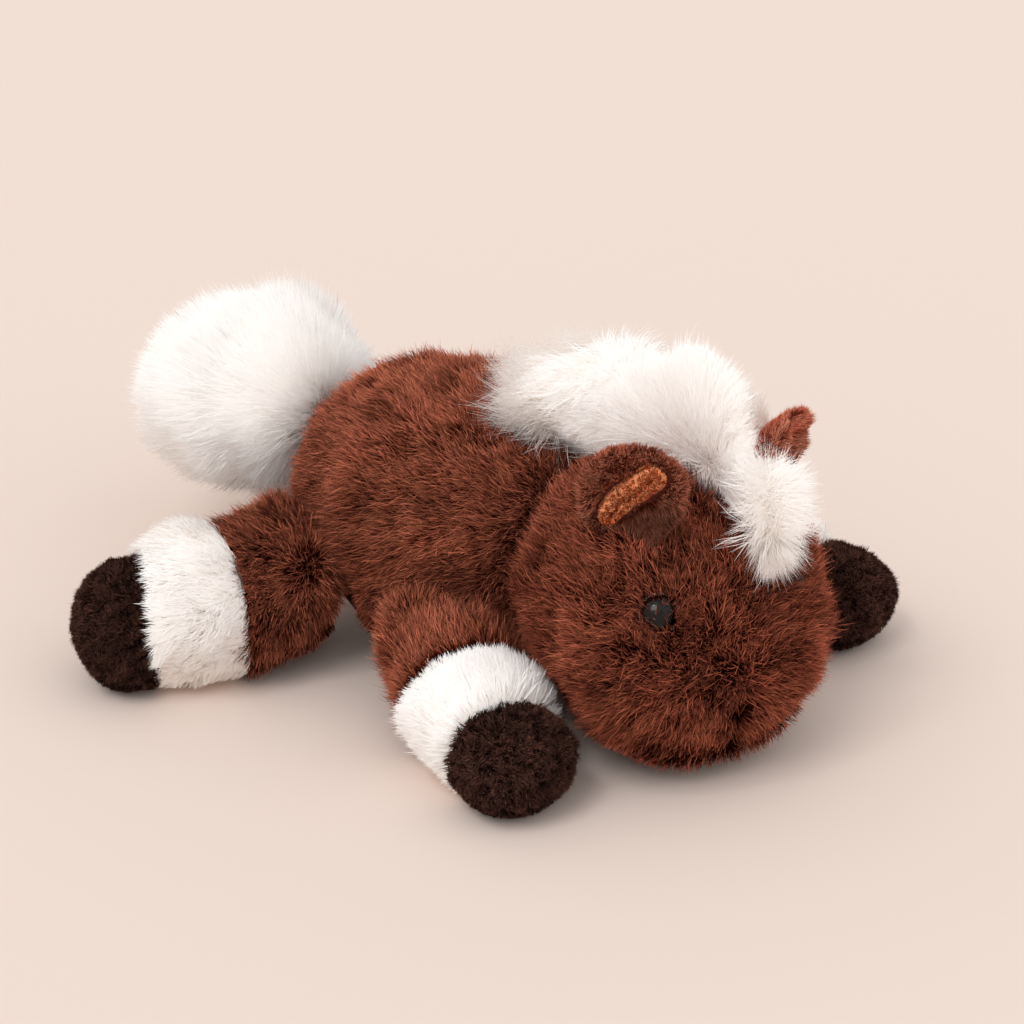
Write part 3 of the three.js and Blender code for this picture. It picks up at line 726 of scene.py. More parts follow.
@dataclass
class TorsoForm(EggForm):
    """The torso, with a flatter belly."""

    centre: tuple = (0.0, 0.0, 102 * MM / 2 - SINK)
    length: float = 138 * MM
    width: float = 107 * MM
    height: float = 102 * MM
    end_power: float = 2.1
    belly_power: float = 2.5
    inner_power: float = 2.2
    least: float = 1e-9

    def inside(self, points: Array, margin: float) -> Array:
        """Whether points lie in the torso, deeper than a margin.

        Args:
            points: Points of the shared frame.
            margin: The least depth.

        Returns:
            True for each point inside.
        """
        place = np.abs((points - np.array(self.centre)) / (self.half - margin))
        size = swell(np.minimum(place[:, 0], 1), self.end_power, self.least)
        return (place[:, 0] < 1) & ((place[:, 1] / size) ** 2 + (place[:, 2] / size) ** self.inner_power < 1)


@dataclass
class BrushForm(EggForm):
    """The tail's brush, behind the rump."""

    centre: tuple = (-103 * MM, 0.0, 60 * MM)
    length: float = 92 * MM
    width: float = 84 * MM
    height: float = 75 * MM
    end_power: float = 2.2
    belly_power: float = 2.0


def curve_through(rows: Sequence, count: int = 400) -> Array:
    """A smooth curve through rows of values, as many finely spaced rows.

    Args:
        rows: The values that the curve passes through.
        count: How many rows come back.

    Returns:
        The fine rows.
    """
    table = np.array(rows, float)
    last = len(table) - 1
    place = np.linspace(0, last, count)
    index = np.minimum(place.astype(int), last - 1)
    weight = (place - index)[:, None]
    a, b, c, d = (table[np.clip(index + k, 0, last)] for k in (-1, 0, 1, 2))
    v0, v1 = (c - a) / 2, (d - b) / 2
    third, second = 2 * b - 2 * c + v0 + v1, -3 * b + 3 * c - 2 * v0 - v1
    return third * weight ** 3 + second * weight ** 2 + v0 * weight + b


@dataclass
class HeadForm(Form):
    """The head: a ball at the neck that swells into cheeks and a blunt muzzle, in its own turned frame.

    Attributes:
        shares: Places along the reach, then half width, crown and chin there as shares of the ball's.
        cheek_row: Row of the shares where the cheeks are fully formed; the next gives their width.
    """

    centre: tuple = (84 * MM, 0.0, 51 * MM)
    ball: float = 49 * MM
    reach: float = 60 * MM
    chin: float = 51.5 * MM
    cheeks: float = 90 * MM
    yaw: float = math.radians(-20)
    tip_drop: float = 0.25
    face_power: float = 2.15
    cheek_row: int = 2
    nudge: float = 0.02
    shares: tuple = (
        (0, 1, 1, 1),
        (0.24, 0.965, 0.95, 0.985),
        (0.46, 0.92, 0.82, 0.98),
        (0.66, 0.83, 0.63, 0.92),
        (0.82, 0.7, 0.42, 0.81),
        (0.93, 0.5, 0.17, 0.64),
        (0.985, 0.25, -0.04, 0.46),
    )

    def __post_init__(self) -> None:
        """Works out the section curve and the turned axes."""
        tip = self.tip_drop * self.chin / self.ball
        self.table = np.vstack([curve_through(self.shares), [1, 0, -tip, self.tip_drop]])
        c, s = math.cos(self.yaw), math.sin(self.yaw)
        self.axes = np.array([[c, s, 0], [-s, c, 0], [0, 0, 1]])

    def world(self, local: Array) -> Array:
        """Points of the head's own frame in the shared frame."""
        return np.array(self.centre) + local @ self.axes

    def way(self, local: Array) -> Array:
        """Directions of the head's own frame in the shared frame."""
        return np.asarray(local) @ self.axes

    def local(self, points: Array) -> Array:
        """Points of the shared frame in the head's own."""
        return (points - np.array(self.centre)) @ self.axes.T

    def section(self, forward: Array) -> tuple:
        """The head's sections at places along it.

        Args:
            forward: Places ahead of the ball's middle.

        Returns:
            Half width, crown, chin and roundness.
        """
        share = np.clip(forward / self.reach, 0, 1)
        wide, crown, chin = (np.interp(share, self.table[:, 0], self.table[:, k]) for k in (1, 2, 3))
        cheek = np.minimum(1, share / self.shares[self.cheek_row][0])
        side = mix(self.ball, self.cheeks / 2 / self.shares[self.cheek_row + 1][1], cheek)
        behind = np.sqrt(np.maximum(self.ball ** 2 - np.minimum(forward, 0) ** 2, 0))
        back = forward <= 0
        return (
            np.where(back, behind, side * wide),
            np.where(back, behind, self.ball * crown),
            np.where(back, behind, mix(self.ball, self.chin, cheek) * chin),
            np.where(back, 2.0, mix(2.0, self.face_power, cheek)),
        )

    def at(self, forward: Array, turn: Array) -> Array:
        """Points in the head's own frame, at a place along it and an angle up from its left side.

        Args:
            forward: Places ahead of the ball's middle.
            turn: Angles in radians.

        Returns:
            The points.
        """
        wide, crown, chin, power = self.section(forward)
        side, rise = oval(turn, wide, (crown + chin) / 2, power, power)
        return np.stack([forward, side, (crown - chin) / 2 + rise], -1)

    def point(self, along: Array, around: Array) -> Array:
        """Points of the head, from the back of the ball to the muzzle."""
        forward = mix(-self.ball, self.reach, (1 - np.cos(np.pi * along)) / 2)
        return self.world(self.at(forward, FULL_TURN * around))

    def inside(self, points: Array, margin: float) -> Array:
        """Whether points lie in the head, deeper than a margin.

        Args:
            points: Points of the shared frame.
            margin: The least depth.

        Returns:
            True for each point inside.
        """
        place = self.local(points)
        wide, crown, chin, power = self.section(place[:, 0])
        half = np.maximum((crown + chin) / 2 - margin, TINY)
        rise = np.abs(place[:, 2] - (crown - chin) / 2) / half
        side = np.abs(place[:, 1]) / np.maximum(wide - margin, TINY)
        within = (place[:, 0] > margin - self.ball) & (place[:, 0] < self.reach - margin)
        return within & (side ** power + rise ** power < 1)

    def spot(self, share: float, degrees: float) -> tuple:
        """A place on the head.

        Args:
            share: Its share of the reach.
            degrees: Its angle up from the left side.

        Returns:
            The point and the outward direction there.
        """
        forward, turn = np.array([self.reach * share]), np.array([math.radians(degrees)])
        here = self.at(forward, turn)
        ahead = self.at(forward + self.reach * self.nudge, turn)
        round_about = self.at(forward, turn + self.nudge)
        out = -unit(np.cross(ahead - here, round_about - here))
        return self.world(here)[0], self.way(out)[0]


@dataclass(frozen=True)
class LegSizes:
    """Radius of a leg's seat, then width and height of its sleeve, sock and hoof."""

    seat: float
    sleeve: tuple
    sock: tuple
    hoof: tuple


@dataclass
class LegForm(Form):
    """A leg from its seat in the torso to its toe: sleeve, sock and hoof in one line over the floor."""

    side: float
    reach: float
    heading: float
    bow: float
    seat_x: float
    sizes: LegSizes
    seat_y: float = 38.5 * MM
    seat_rise: float = 11 * MM
    sock_length: float = 29 * MM
    hoof_length: float = 27 * MM
    swell_share: float = 0.5
    sock_shares: tuple = (0.94, 0.06, 0.05)
    blunt_from: float = 0.3
    power: float = 2.2
    line: int = 40

    def __post_init__(self) -> None:
        """Works out the route and where sock and hoof begin."""
        self.seat = np.array([self.seat_x, self.side * self.seat_y, self.seat_rise + self.sizes.seat])
        turn = math.radians(self.heading)
        self.ahead = np.array([math.cos(turn), math.sin(turn), 0])
        aside = np.array([-self.ahead[1], self.ahead[0], 0])
        self.toe = self.seat + self.ahead * self.reach
        self.bend = self.seat + self.ahead * self.reach / 2 + aside * self.bow
        self.hoof_start = 1 - self.hoof_length / self.reach
        self.sock_start = self.hoof_start - self.sock_length / self.reach

    def route(self, share: Array) -> tuple:
        """Points and directions of the leg's middle line.

        Args:
            share: Shares of the route.

        Returns:
            The points and the directions.
        """
        t = share[..., None]
        place = (1 - t) ** 2 * self.seat + 2 * t * (1 - t) * self.bend + t ** 2 * self.toe
        return place, unit((1 - t) * (self.bend - self.seat) + t * (self.toe - self.bend))

    def size(self, share: Array) -> tuple:
        """The leg's thickness.

        Args:
            share: Shares of the route.

        Returns:
            Half the width and half the height there.
        """
        rising = np.sin(np.pi / 2 * np.minimum(1, share / self.sock_start / self.swell_share))
        sleeve = [mix(self.sizes.seat, size / 2, rising) for size in self.sizes.sleeve]
        place = (share - self.sock_start) / (self.hoof_start - self.sock_start)
        start, waist, taper = self.sock_shares
        share_of = start + waist * np.sin(np.pi * place) - taper * place
        sock = [size / 2 * share_of for size in self.sizes.sock]
        late = ((share - self.hoof_start) / (1 - self.hoof_start) - self.blunt_from) / (1 - self.blunt_from)
        blunt = np.sqrt(np.maximum(0, 1 - np.maximum(0, late) ** self.power))
        hoof = [size / 2 * blunt for size in self.sizes.hoof]
        pick = [share <= self.sock_start, share <= self.hoof_start]
        return tuple(np.select(pick, [a, b], c) for a, b, c in zip(sleeve, sock, hoof))

    def height(self, tall: Array) -> Array:
        """The middle line's height over the floor where the leg is half so tall."""
        return np.maximum(tall, self.sizes.hoof[1] / 2) - SINK

    def point(self, along: Array, around: Array) -> Array:
        """Points of the leg's surface.

        Args:
            along: Shares of its length.
            around: Shares of the way round it.

        Returns:
            The points.
        """
        place, way = self.route(along)
        wide, tall = self.size(along)
        aside = np.stack([-way[..., 1], way[..., 0], np.zeros_like(along)], -1)
        rise = mix(self.seat_rise + SINK, 0, np.sqrt(np.clip(along / self.sock_start, 0, 1)))
        side, up = oval(FULL_TURN * around, wide, tall, 2, self.power)
        result = place + aside * side[..., None]
        result[..., 2] = rise + self.height(tall) + up
        return result

    def inside(self, points: Array, margin: float) -> Array:
        """Whether points lie in the leg, deeper than a margin.

        Args:
            points: Points of the shared frame.
            margin: The least depth.

        Returns:
            True for each point inside.
        """
        line = np.linspace(0, 1, self.line)
        place, _ = self.route(line)
        wide, tall = self.size(line)
        place[:, 2] = self.height(tall)
        apart = np.linalg.norm(points[:, None] - place[None], axis=-1)
        return (apart - np.minimum(wide, tall)[None]).min(1) < -margin


@dataclass
class SpanForm(Form):
    """A stretch of another form between two shares of its length."""

    whole: Form
    start: float
    end: float

    def point(self, along: Array, around: Array) -> Array:
        """Points of the stretch."""
        return self.whole.point(mix(self.start, self.end, along), around)


@dataclass
class ManeForm(Form):
    """The mane: a swelling ridge from the forehead over the poll to the withers, in the head's frame.

    Attributes:
        shares: The ridge's place in three columns as shares of the head's ball, then its rise and width.
    """

    head: HeadForm
    rise: float = 28 * MM
    width: float = 52 * MM
    nudge: float = 0.01
    close_power: int = 6
    close_least: float = 0.05
    shares: tuple = (
        (0.98, 0.3, 0.58, 0.25, 0.32),
        (0.74, 0.33, 0.86, 0.5, 0.44),
        (0.24, 0.34, 1, 0.85, 0.6),
        (-0.27, 0.22, 1.06, 0.95, 0.85),
        (-0.8, 0.04, 1.03, 0.75, 0.9),
        (-1.3, -0.14, 1.02, 0.3, 0.4),
    )

    def __post_init__(self) -> None:
        """Works out the ridge's curve."""
        self.table = curve_through(self.shares)

    def row(self, share: Array, column: int) -> Array:
        """Values of one column of the ridge's curve at shares of its length."""
        return np.interp(share, np.linspace(0, 1, len(self.table)), self.table[:, column])

    def ridge(self, share: Array) -> Array:
        """Points of the ridge's middle line in the head's frame."""
        return np.stack([self.row(share, k) for k in range(3)], -1) * self.head.ball

    def axes(self, share: Array) -> tuple:
        """Directions of the ridge in the head's frame.

        Args:
            share: Shares of its length.

        Returns:
            The directions along, across and out of it.
        """
        ahead, behind = np.minimum(share + self.nudge, 1), np.maximum(share - self.nudge, 0)
        along = unit(self.ridge(ahead) - self.ridge(behind))
        side = np.broadcast_to(np.array([0.0, 1.0, 0.0]), along.shape)
        across = unit(side - along * dot(side, along))
        return along, across, unit(np.cross(across, along)) * -1

    def point(self, along: Array, around: Array) -> Array:
        """Points of the mane, from the forelock to the withers.

        Args:
            along: Shares of its length.
            around: Shares of the way round it.

        Returns:
            The points.
        """
        _, across, out = self.axes(along)
        close = np.sqrt(np.maximum(self.close_least, 1 - np.abs(2 * along - 1) ** self.close_power))
        high, wide = self.rise * self.row(along, 3) * close, self.width / 2 * self.row(along, 4) * close
        turn = FULL_TURN * around
        local = self.ridge(along) + across * (wide * np.cos(turn))[..., None]
        return self.head.world(local + out * (high * np.sin(turn))[..., None])


@dataclass
class EarForm(Form):
    """A cupped leaf with a thick rim, on its hem in the head."""

    hem: Array
    rise_way: Array
    across_way: Array
    facing_way: Array
    width: float = 31 * MM
    height: float = 31 * MM
    thickness: float = 5.5 * MM
    cup: float = 7.5 * MM
    open_share: float = 0.55
    rim_power: float = 3.0
    tip: tuple = (1.04, 4)
    outline: tuple = ((0, 0.62), (0.2, 0.88), (0.45, 1), (0.68, 0.95), (0.86, 0.74), (1, 0.3))
    outward: float = field(default=1.0, init=False)

    def half_width(self, share: Array) -> Array:
        """Half the ear's width at shares of its height."""
        table = curve_through(self.outline)
        return self.width / 2 * np.interp(share, table[:, 0], table[:, 1])

    def bowl(self, share: Array, aside: Array) -> Array:
        """How far the ear's middle sheet lies behind its rim, at a height and a share of its half width."""
        depth = self.cup * self.half_width(share) / (self.width / 2)
        return -depth * (1 - aside ** 2) * (1 - self.open_share * share)

    def place(self, share: Array, aside: Array, depth: Array) -> Array:
        """Points of the ear.

        Args:
            share: Their share of the height.
            aside: Their share of the half width.
            depth: Their depth off the middle sheet.

        Returns:
            The points.
        """
        up = self.height * share
        out = self.bowl(share, aside) + depth + self.cup / 2
        wide = self.half_width(share) * aside
        return (self.hem + self.across_way * wide[..., None] + self.rise_way * up[..., None]
                + self.facing_way * out[..., None])

    def point(self, along: Array, around: Array) -> Array:
        """Points of the ear, from its hem to its tip.

        Args:
            along: Shares of its height.
            around: Shares of the way round it.

        Returns:
            The points.
        """
        turn = FULL_TURN * around
        aside = signed_power(np.cos(turn), 2 / self.rim_power)
        depth = self.thickness / 2 * signed_power(np.sin(turn), 2 / self.rim_power)
        return self.place(along, aside, depth * np.sqrt(np.clip(self.tip[0] - along ** self.tip[1], 0, 1)))


@dataclass
class LiningForm(Form):
    """The velour in an ear: two plump lobes beside a crease, leaning towards the other ear."""

    ear: EarForm
    lean: float
    heights: tuple = (0.03, 0.9)
    middle_shares: tuple = (-0.5, 0.42)
    middle_ease: tuple = (-0.2, 1.1)
    half: float = 5.8 * MM
    taper: tuple = (0.75, 1.1)
    lobes: float = 3.6 * MM
    lobe_powers: tuple = (0.8, 0.6)
    end_powers: tuple = (0.8, 2.4)
    proud: float = 0.7 * MM
    outward: float = field(default=1.0, init=False)

    def point(self, along: Array, around: Array) -> Array:
        """Points of the lining, from its narrow end at the hem to its round tip.

        Args:
            along: Shares of its length.
            around: Shares of the way round it.

        Returns:
            The points.
        """
        share = mix(*self.heights, along)
        turn = FULL_TURN * around
        early, blunt = self.end_powers
        full = np.sqrt(np.clip(1 - np.abs(2 * along ** early - 1) ** blunt, 0, 1))
        room = self.ear.half_width(share)
        middle = self.lean * mix(*self.middle_shares, ease(along, *self.middle_ease))
        aside = middle + self.half * mix(*self.taper, along) * full * np.cos(turn) / room
        wide, round_power = self.lobe_powers
        lobe = np.abs(np.sin(np.pi * np.abs(np.cos(turn)) ** wide)) ** round_power
        front = np.sin(turn) > 0
        depth = self.ear.thickness / 2 + np.where(front, self.proud + self.lobes * lobe * full, -self.proud)
        return self.ear.place(share, aside, depth)


# Skins under the pile

LUMPS = Waves(38 * MM, 11)


@dataclass(frozen=True)
class Skin:
    """A closed skin, drawn in from a form by the depth of its pile."""

    depth: float
    rings: int = 48
    sides: int = 72
    lumps: float = 0.8 * MM
    pressed: float = 0.8
    under: tuple = (0.35, 0.9)
    ends: tuple = (0.012, 0.988)

    def drawn_in(self, form: Form, along: Array, around: Array, carve: Mask) -> tuple:
        """The skin under a form.

        Args:
            form: The outer form that it lies under.
            along: Shares of the form's length.
            around: Shares of the way round it.
            carve: Extra depth at points, for creases and seams.

        Returns:
            Points of the skin and the form's normals there.
        """
        points, normals = form.patch(along, around)
        free = 1 - self.pressed * ease(-normals[..., 2], *self.under)
        depth = self.depth * free - self.lumps * LUMPS(points) * free + carve(points, normals)
        inner = points - normals * depth[..., None]
        inner[..., 2] = np.maximum(inner[..., 2], FLOOR_GAP)
        return inner, normals

    def make(self, form: Form, place: Place, finish: Finish, carve: Mask = level(0.0)) -> None:
        """Builds the closed skin and seats it on its body.

        Args:
            form: The outer form that it lies under.
            place: What the new piece is.
            finish: Its material.
            carve: Extra depth at points, for creases and seams.
        """
        around = np.arange(self.sides) / self.sides
        a, r = np.meshgrid(np.linspace(*self.ends, self.rings), around, indexing="ij")
        points, _ = self.drawn_in(form, a.ravel(), r.ravel(), carve)
        grid = points.reshape(self.rings, self.sides, 3)
        vertices = np.concatenate([points, [grid[0].mean(0), grid[-1].mean(0)]])
        faces = ring_faces(self.rings, self.sides)
        if form.outward > 0:
            faces = [f[::-1] for f in faces]
        place.seat(make_mesh(place.name, vertices, faces, finish.material()))


BODY_SKIN = Skin(depth=8 * MM)
FACE_SKIN = replace(BODY_SKIN, rings=96, sides=120)
SOCK_SKIN = Skin(depth=5.5 * MM, rings=14, lumps=0.3 * MM)
HOOF_SKIN = Skin(depth=3.0 * MM, rings=24, lumps=0.5 * MM)
EAR_SKIN = Skin(depth=0.6 * MM, rings=24, sides=48, lumps=0, pressed=0)
MANE_SKIN = Skin(depth=8 * MM, rings=40, sides=48, lumps=0.5 * MM, pressed=0)
VELOUR_SKIN = Skin(depth=0.4 * MM, rings=28, sides=40, lumps=0, pressed=0)
TAIL_SKIN = Skin(depth=15 * MM, rings=32, sides=48, lumps=1 * MM, pressed=0)
FILLING_SKIN = Skin(depth=13 * MM, rings=18, sides=28, lumps=1.6 * MM, pressed=0.5)
HEAD_FILLING_SKIN = replace(FILLING_SKIN, depth=19 * MM)


# Pile


@dataclass(frozen=True)
class Coat:
    """How a kind of pile grows: its strands, their lie and the tufts that they gather in."""

    length: float
    width: float
    per_mm2: float
    lift: float
    droop: float
    tuft: int
    tuft_radius: float
    gather: float
    stray: float
    wander: float
    segments: int = 3
    patch: float = 15 * MM
    spread: float = 0.14
    curl: float = 0.1
    roll: float = 0.5
    even: float = 0.4
    rounded: float = 0.35
    bright: float = 0.0
    tone: float = 0.42
    taper: tuple = (0.8, 0.5, 0.6)

    @property
    def triangles(self) -> int:
        """Triangles of one strand."""
        return 2 * self.segments - 1


BODY_COAT = Coat(length=9.6 * MM, width=0.24 * MM, per_mm2=4, lift=78, droop=-40, tuft=2,
                 tuft_radius=0.6 * MM, gather=0.2, stray=0.12, wander=18, patch=14 * MM, curl=0.07,
                 bright=0.2, tone=0.32)
# FACE_COAT's lower tone darkens the face's pile further, as painted shade.
FACE_COAT = replace(BODY_COAT, per_mm2=3.6, lift=84, droop=-42, stray=0.13, wander=24, curl=0.09, tone=0.26)
SOCK_COAT = Coat(length=7.6 * MM, width=0.36 * MM, per_mm2=5.5, lift=54, droop=-34, tuft=4,
                 tuft_radius=1.1 * MM, gather=0.35, stray=0.09, wander=14, curl=0.05, roll=0.3, even=0.5)
HOOF_COAT = Coat(length=3.2 * MM, width=0.32 * MM, per_mm2=8, lift=74, droop=-24, tuft=4,
                 tuft_radius=0.8 * MM, gather=0.4, segments=2, stray=0.12, wander=80, patch=6 * MM,
                 curl=0.12, bright=0.1)
EAR_COAT = Coat(length=4.2 * MM, width=0.26 * MM, per_mm2=11, lift=58, droop=-26, tuft=3,
                tuft_radius=0.8 * MM, gather=0.25, segments=2, stray=0.09, wander=14, patch=8 * MM,
                curl=0.05, even=0.6, tone=0.56)
VELOUR_COAT = Coat(length=0.9 * MM, width=0.24 * MM, per_mm2=20, lift=70, droop=-20, tuft=3,
                   tuft_radius=0.3 * MM, gather=0.2, segments=2, stray=0.1, wander=40, patch=3 * MM,
                   roll=0.2, even=0.8, bright=0.1, tone=0.66)
MANE_COAT = Coat(length=18 * MM, width=0.27 * MM, per_mm2=9.5, lift=56, droop=-56, tuft=4,
                 tuft_radius=1.5 * MM, gather=0.15, stray=0.05, wander=12, patch=16 * MM, curl=0.04,
                 roll=0.3, even=0.5, bright=0.06)
TAIL_COAT = replace(MANE_COAT, length=20 * MM, width=0.3 * MM, per_mm2=6.2, lift=60, droop=-30,
                    tuft_radius=1.8 * MM, gather=0.2, wander=10, patch=20 * MM)


@dataclass(frozen=True)
class Growth:
    """Shares, spreads and limits that every kind of pile has in common."""

    grid: int = 160
    edges: tuple = (0.004, 0.996)
    underside: float = -0.55
    under_share: float = 0.4
    loose_under: float = 0.4
    loose_turn: float = 1.6
    wander_share: float = 0.4
    length_share: float = 0.5
    waves: float = 0.14
    length_patch: float = 1.7
    press: float = 0.75
    press_from: tuple = (0.25, 0.9)
    lift_spread: float = 0.1
    angles: tuple = (math.radians(4), math.radians(100))
    scales: tuple = (0.4, 1)
    gather_power: float = 1.3
    drift_power: float = 1.5
    root_depth: float = 0.4 * MM
    floor_spread: float = 0.4 * MM
    guard_drift: float = 0.35
    guard_thick: float = 0.4
    guard_tint: float = 0.42
    tint_patch: float = 24 * MM
    tint_spread: float = 0.08
    strand_spread: float = 0.1
    tints: tuple = (0.02, 0.98)


GROWTH = Growth()


@dataclass
class Strands:
    """Grown strands, in arrays with one row a strand.

    Attributes:
        points: Points from root to tip (strands, rings, 3).
        out: Which way each strand's flat side faces.
        skyward: The skin's outward direction under each strand.
        tint: A tint from 0 to 1.
        thick: Thickness as a share of the coat's.
    """

    points: Array
    out: Array
    skyward: Array
    tint: Array
    thick: Array

    def part(self, pick: slice) -> "Strands":
        """Some of the strands."""
        rows = (self.points, self.out, self.skyward, self.tint, self.thick)
        return Strands(*(row[pick] for row in rows))

    def outline(self, coat: Coat) -> tuple:
        """The strands as tapered slivers that are shaded as if they were round.

        Args:
            coat: The pile's sizes.

        Returns:
            Vertices and shading normals (strands, vertices of one, 3).
        """
        count, rings = self.points.shape[:2]
        share = np.arange(rings - 1) / (rings - 1)
        way = unit(np.gradient(self.points, axis=1))
        across = unit(np.cross(way, self.out[:, None]))
        facing = np.cross(across, way)
        start, rise, fall = coat.taper
        half = coat.width / 2 * (start + rise * share - fall * share ** 2)[None, :, None, None]
        half = half * self.thick[:, None, None, None]
        sides = np.array([-1, 1])[None, None, :, None]
        rows = self.points[:, :-1, None] + across[:, :-1, None] * half * sides
        glow = unit(mix(facing, self.skyward[:, None], coat.even))
        rounded = unit(glow[:, :-1, None] + coat.rounded * across[:, :-1, None] * sides)
        return tuple(np.concatenate([pairs.reshape(count, -1, 3), tips[:, -1:]], 1)
                     for pairs, tips in ((rows, self.points), (rounded, glow)))

    def mesh(self, name: str, coat: Coat, finish: Finish) -> bpy.types.Object:
        """Builds the strands.

        Args:
            name: The piece's name.
            coat: The pile's sizes.
            finish: Its material.

        Returns:
            The new object.
        """
        vertices, shading = self.outline(coat)
        count, per = vertices.shape[:2]
        segments = coat.segments
        quads = [(2 * s, 2 * s + 1, 2 * s + 3, 2 * s + 2) for s in range(segments - 1)]
        loops = np.array([i for f in (*quads, (per - 3, per - 2, per - 1)) for i in f])
        sizes = np.array([4] * len(quads) + [3])
        starts = np.concatenate([[0], np.cumsum(sizes)[:-1]])
        numbers = loops[None] + (np.arange(count) * per)[:, None]
        firsts = starts[None] + (np.arange(count) * len(loops))[:, None]
        mesh = bpy.data.meshes.new(name)
        mesh.vertices.add(count * per)
        mesh.vertices.foreach_set("co", vertices.astype(np.float32).ravel())
        mesh.loops.add(count * len(loops))
        mesh.loops.foreach_set("vertex_index", numbers.astype(np.int32).ravel())
        mesh.polygons.add(count * len(sizes))
        mesh.polygons.foreach_set("loop_start", firsts.astype(np.int32).ravel())
        mesh.polygons.foreach_set("use_smooth", np.ones(count * len(sizes), bool))
        aside = np.array([-1, 1] * segments + [0])[loops]
        height = (np.append(np.repeat(np.arange(segments), 2), segments) / segments)[loops]
        height = np.broadcast_to(height, (count, len(loops)))
        uv = np.stack([self.tint[:, None] + MAP_STEP * aside, height], -1)
        layer = mesh.uv_layers.new(name=PILE_MAP)
        layer.data.foreach_set("uv", uv.astype(np.float32).ravel())
        mesh.materials.append(finish.material())
        mesh.update(calc_edges=True)
        lit = mesh.attributes.new("custom_normal", "FLOAT_VECTOR", "POINT")
        lit.data.foreach_set("vector", shading.astype(np.float32).ravel())
        return show(name, mesh)


